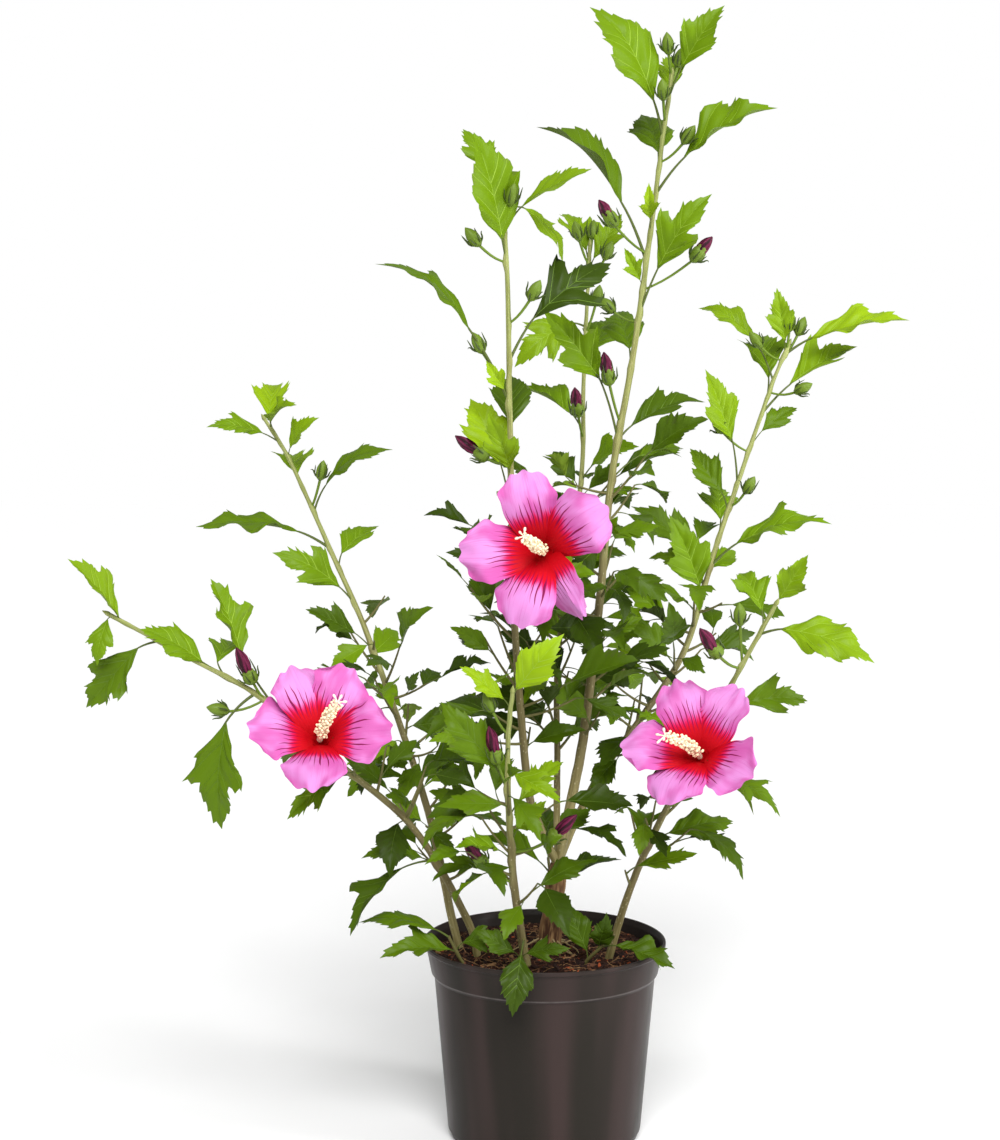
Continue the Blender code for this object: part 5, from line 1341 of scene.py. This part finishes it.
def make_pot():
    """Tapered pot: a wall, a sloped step out to the deep rim band, a rounded lip, the hollow inside, and a foot
    ring with drainage notches."""
    inner_top, inner_foot = WALL_TOP_RADIUS - POT_WALL, WALL_FOOT_RADIUS - POT_WALL
    corners = (
        (0, 1.2 * MM, 0), (WALL_FOOT_RADIUS - 9 * MM, 1.2 * MM, 0.5), (WALL_FOOT_RADIUS - 8 * MM, 0, 0.5),
        (WALL_FOOT_RADIUS - 2.4 * MM, 0, 0.8), (WALL_FOOT_RADIUS - 2.0 * MM, 4 * MM, 0.5),
        (WALL_FOOT_RADIUS, 5.2 * MM, 0.5), (WALL_TOP_RADIUS, BAND_FOOT - 3 * MM, 0.7),
        (WALL_TOP_RADIUS + 2.4 * MM, BAND_FOOT, 0.8), (RIM_RADIUS - 2.2 * MM, POT_HEIGHT - 4.5 * MM, 1.0),
        (RIM_RADIUS, POT_HEIGHT - 3 * MM, 0.6), (RIM_RADIUS, POT_HEIGHT, 0.8),
        (RIM_RADIUS - 2 * MM, POT_HEIGHT, 0.7), (RIM_RADIUS - 4.2 * MM, POT_HEIGHT - 4 * MM, 0.8),
        (WALL_TOP_RADIUS + 0.6 * MM, BAND_FOOT + 1 * MM, 0.6), (inner_top, BAND_FOOT - 3 * MM, 0.6),
        (inner_foot, POT_FLOOR, 1.0), (0, POT_FLOOR, 0),
    )
    pile = Pile()
    turned(pile, rounded(corners), POT_SIDES)
    points = pile.points[0]
    turn = np.arctan2(points[:, 1], points[:, 0]) * NOTCHES / (2 * pi) - 0.5
    beside = np.abs(turn - np.round(turn)) * 2 * pi / NOTCHES * WALL_FOOT_RADIUS
    foot = (np.hypot(points[:, 0], points[:, 1]) > WALL_FOOT_RADIUS - 8.5 * MM) & (points[:, 2] < NOTCH_HEIGHT)
    points[foot & (beside < NOTCH_WIDTH / 2), 2] = NOTCH_HEIGHT
    pile.build("nursery_pot", [pot_finish()], "pot", "pot", sharp=38)


def compost_height(x, y):
    """Height of the compost: lumps of three sizes, a little higher round the trunk, lower at the wall."""
    flat = np.stack([x, y, 0 * x], axis=-1)
    lumps = 1.5 * ripple(flat, 26 * MM, 1) + 1.1 * ripple(flat, 9 * MM, 2) + 0.6 * ripple(flat, 3.6 * MM, 4)
    far = np.hypot(x, y)
    return SOIL_TOP + (lumps + 2.5 * np.exp(-(far / (40 * MM)) ** 2) - 1.6 * step(far, 74 * MM, 88 * MM)) * MM


def make_compost():
    """Compost that fills the pot: its walls follow the hollow, its top is the lumpy surface."""
    angle = corner_angles(COMPOST_SIDES)
    far = np.linspace(0, 89 * MM, COMPOST_RINGS)[::-1, None]
    x, y = far * np.cos(angle), far * np.sin(angle)
    top = np.stack([x, y, compost_height(x, y)], axis=-1)
    walls = []
    for radius, height in ((0, POT_FLOOR + 0.4 * MM), (73.6 * MM, POT_FLOOR + 0.4 * MM), (84.2 * MM, 127 * MM)):
        walls.append(np.stack([radius * np.cos(angle), radius * np.sin(angle), height + 0 * angle], axis=1))
    points = np.concatenate([walls, top])
    pile = Pile()
    pile.add(points, faces_of(capped(len(points), COMPOST_SIDES), wrap=True))
    pile.build("compost", [compost_finish()], "compost", "soil", sharp=80)


def scatter_litter(finishes):
    """Bark chips, fibres and a few orange scraps that lie on the compost at random, each bent to its surface."""
    litter = Pile()
    rng = np.random.default_rng(SEED + 7)
    for k in range(CHIPS + FIBRES):
        reach, bearing = LITTER_REACH * np.sqrt(rng.random()), rng.uniform(0, 2 * pi)
        place = np.array([reach * cos(bearing), reach * sin(bearing)])
        way, rise = rng.uniform(0, 2 * pi), rng.normal(0, 0.30)
        fibre = k >= CHIPS
        long = (rng.uniform(6, 24) if fibre else rng.uniform(1.2, 3.2) + rng.exponential(1.0)) * MM
        t = np.linspace(-0.5, 0.5, 7 if fibre else 5)[:, None]
        bend = rng.uniform(-0.5, 0.5) if fibre else 0.1
        flat = place + long * (t * [cos(way), sin(way)] + bend * t ** 2 * [-sin(way), cos(way)])
        flat *= np.minimum(1, LITTER_EDGE / np.hypot(*flat.T))[:, None]
        ground = compost_height(*flat.T)
        if fibre:
            high = ground + 0.4 * MM + long * 0.5 * max(rise, 0) * (t[:, 0] + 0.5) ** 2
            add_tube(litter, np.column_stack([flat, high]), np.full(7, rng.uniform(0.12, 0.34)) * MM, 4,
                     rng.choice([1, 3], p=(0.55, 0.45)))
        else:
            high = ground.mean() + 0.5 * MM + long * rise * t[:, 0]
            girth = long * rng.uniform(0.12, 0.28)
            rough = girth * np.array([0.5, 0.95, 1, 0.85, 0.45])[:, None] * rng.uniform(0.7, 1.15, (5, 6))
            add_tube(litter, np.column_stack([flat, high]), rough, 6, rng.choice(4, p=(0.55, 0.12, 0.07, 0.26)))
    litter.build("bark_chips_and_fibres", finishes, "compost", sharp=35)


# ---------------------------------------------------------------- plant
def thicken(grown, place):
    """Carries the growth on: more and finer side twigs on the lower and inner stretches of the canes, each with
    a leaf on either side and one at its end. What would leave its mass's box or touch another piece is left out."""
    boxes = {name: [np.array(corner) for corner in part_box(name)] for parts in MASSES.values() for *_, name in parts}

    def place_near(piece, mass, host):
        """Places the piece if it also keeps to its mass's box, and tells whether it did."""
        low, high = boxes[mass]
        points = piece.samples()
        inside = (points > low - REACH_MARGIN).all() and (points < high + REACH_MARGIN).all()
        return bool(inside) and place(piece, mass, host, TWIGLET_GAP, TWIGLET_OWN_GAP)

    for cane, (first, last, count, bearing) in TWIGLETS.items():
        rng = np.random.default_rng(SEED * 100 + len(cane))
        for i in range(count):
            share = first + (last - first) * (i + rng.uniform(0.1, 0.9)) / count
            point, mass = along_cane(cane, share), mass_at(cane, share)
            for attempt in range(TWIGLET_TRIES):
                turn = bearing + GOLDEN * i + TWIGLET_TURN * attempt
                shoot = Shoot(point, turn, rng.uniform(0, 50), rng.uniform(*TWIGLET_LENGTH))
                if place_near(shoot, mass, cane):
                    shoot.end_at(dress_twiglet(shoot, mass, cane, rng, place_near))
                    if not shoot.reach:
                        grown[mass].remove(shoot)
                    break


def dress_twiglet(shoot, mass, host, rng, place_near):
    """Leaves of a finer twig: one to either side and one that carries on from its tip. Returns the share of the
    twig at its last leaf."""
    reach = 0
    for k, share in enumerate(TWIGLET_LEAVES):
        point, lean = shoot.place(share)
        for _ in range(6):
            spread = (0 if share == 1 else (60 if k % 2 else -60)) + rng.uniform(-25, 25)
            sway = draw_sway(rng, TWIGLET_SWAY)
            leaf = Leaf(point, lean, shoot.bearing + spread, rng.uniform(-45, 45),
                        rng.uniform(*TWIGLET_LEAF_LENGTH), rng.uniform(-10, 85), rng.uniform(6, 16), sway, 0, False)
            if place_near(leaf, mass, host):
                reach = share
                break
    return reach


def habit_of(cane, leaf):
    """Tone of a leaf and how lobed it is: the low growth and what grew by seed have a tone of their own, and
    None leaves the lobes to be drawn."""
    if cane in FOOT_CANES:
        return "foot", None
    if not leaf.planned:
        return "inner", None
    return HABITS.get((cane, round(leaf.length / MM)), (leaf.tone, None))


def make_plant():
    """Canes, twigs, leaves, buds and blooms, each kind in pieces of its own."""
    grown, blooms, place = grow()
    thicken(grown, place)
    rng = np.random.default_rng(SEED + 1)
    bark, stalks, buds = Pile(), Pile(), Pile()
    add_trunk(bark)
    add_surface_roots(bark)
    finishes = leaf_finishes()
    for cane, parts in MASSES.items():
        blades, masses = Pile(), [mass for _, _, mass in parts]
        for piece in (piece for mass in masses for piece in grown[mass]):
            if isinstance(piece, Leaf):
                tone, lobed = habit_of(cane, piece)
                chances = LEAF_DEALS[tone]
                add_leaf(blades, stalks, piece, rng, rng.choice(len(chances), p=chances), lobed)
            elif isinstance(piece, Bud):
                add_bud(buds, piece, rng)
            else:
                add_shoot(bark, piece)
        add_cane(bark, cane, [row[:2] for row in LEAVES[cane] + BUDS.get(cane, [])])
        blades.build(f"{cane}_foliage", finishes, "foliage", *masses)
    boughs = [f"{cane}_bough" for cane in GROUND_CANES + FORK_CANES]
    roots = plain("surface_root", (0.36, 0.27, 0.13), 0.8)
    # twig bark: greener for young twigs, and darker partly as painted shade of the inner canopy
    twigs = plain("twig_bark", (0.125, 0.115, 0.035), 0.6)
    bark.build("bark", [cane_finish(), trunk_finish(), roots, twigs], "bark", "trunk", *boughs, sharp=75)
    stalks.build("leaf_stalks_and_ribs", stalk_finishes(), "foliage", sharp=75)
    calyx = plain("calyx", (0.125, 0.20, 0.014), 0.5, 300)
    bract = plain("bract", (0.050, 0.080, 0.012), 0.55, 300)
    buds.build("buds", [calyx, bract, furl_finish()], "foliage", sharp=70)
    make_blooms(blooms, [calyx, bract], rng)


def make_blooms(blooms, greens, rng):
    """Each bloom's petals, its column and its green cup."""
    petal = [petal_finish(), petal_back_finish()]
    pollen = plain("pollen", (0.94, 0.84, 0.56), 0.8, 1500)
    style = plain("style", (0.94, 0.86, 0.66), 0.5)
    for name, bloom in blooms.items():
        petals, column, cup = Pile(), Pile(), Pile()
        for bearing, spread in zip(bloom.bearings, PETAL_SPREADS[name]):
            points, grain = petal_points(bloom, bearing, spread, rng, (name, bearing) == CURLED_PETAL)
            add_skin(petals, points, -PETAL_SKIN * bloom.axis, False, (0, 1), grain)
        add_throat(petals, bloom)
        add_column(column, bloom, rng)
        add_cup(cup, bloom, rng)
        petals.build(f"{name}_petals", petal, "petal", name)
        column.build(f"{name}_column", [pollen, style], "petal", sharp=80)
        cup.build(f"{name}_cup", greens, "foliage", sharp=70)


# ---------------------------------------------------------------- stage
def make_stage():
    """Pale floor, white surroundings, a broad soft sun high in front and a little to the right, a strip light
    on either side, and the camera. The surroundings are dimmer to everything but the camera."""
    mesh = bpy.data.meshes.new("floor")
    corners = [(x * FLOOR_SIZE, y * FLOOR_SIZE, -FLOOR_DROP) for x, y in ((-1, -1), (1, -1), (1, 1), (-1, 1))]
    mesh.from_pydata(corners, [], [(0, 1, 2, 3)])
    mesh.materials.append(Finish("floor_white", (0.93, 0.93, 0.93), 0.9).material)
    put("floor", mesh)

    world = bpy.data.worlds.new("studio")
    bpy.context.scene.world = world
    world.use_nodes = True
    nodes, links = world.node_tree.nodes, world.node_tree.links
    strength = nodes.new("ShaderNodeMapRange")
    links.new(nodes.new("ShaderNodeLightPath").outputs["Is Camera Ray"], strength.inputs["Value"])
    strength.inputs["To Min"].default_value = SKY_STRENGTH
    nodes["Background"].inputs["Color"].default_value = (1, 1, 1, 1)
    links.new(strength.outputs[0], nodes["Background"].inputs["Strength"])
    power, spread, lean, turn = SUN
    sun = bpy.data.lights.new("sun", "SUN")
    sun.energy, sun.angle = power, radians(spread)
    put("sun", sun).rotation_euler = (radians(lean), 0, radians(turn))
    for name, power, width, height, place, aim in LAMPS:
        light = bpy.data.lights.new(name, "AREA")
        light.energy, light.shape, light.size, light.size_y = power, "RECTANGLE", width, height
        lamp = put(name, light)
        lamp.location, lamp.rotation_euler = place, facing(np.array(place), np.array(aim))

    camera = put("camera", bpy.data.cameras.new("camera"))
    camera.location = CAMERA_PLACE
    camera.rotation_euler = (radians(90 - CAMERA_DIP), 0, 0)
    camera.data.lens = CAMERA_LENS
    bpy.context.scene.camera = camera
    bpy.context.scene.view_settings.view_transform = "Standard"


def facing(place, aim):
    """Turn that points a lamp's -Z axis from its place at its aim."""
    ahead = unit(aim - place)
    return (pi / 2 + np.arcsin(ahead[2]), 0, np.arctan2(-ahead[0], ahead[1]))


make_stage()
make_pot()
make_compost()
scatter_litter([plain("dark_chip", (0.024, 0.009, 0.006), 0.9), plain("tan_chip", (0.24, 0.13, 0.055), 0.85),
                plain("orange_chip", (0.32, 0.065, 0.018), 0.8), plain("brown_fibre", (0.11, 0.044, 0.022), 0.85)])
make_plant()
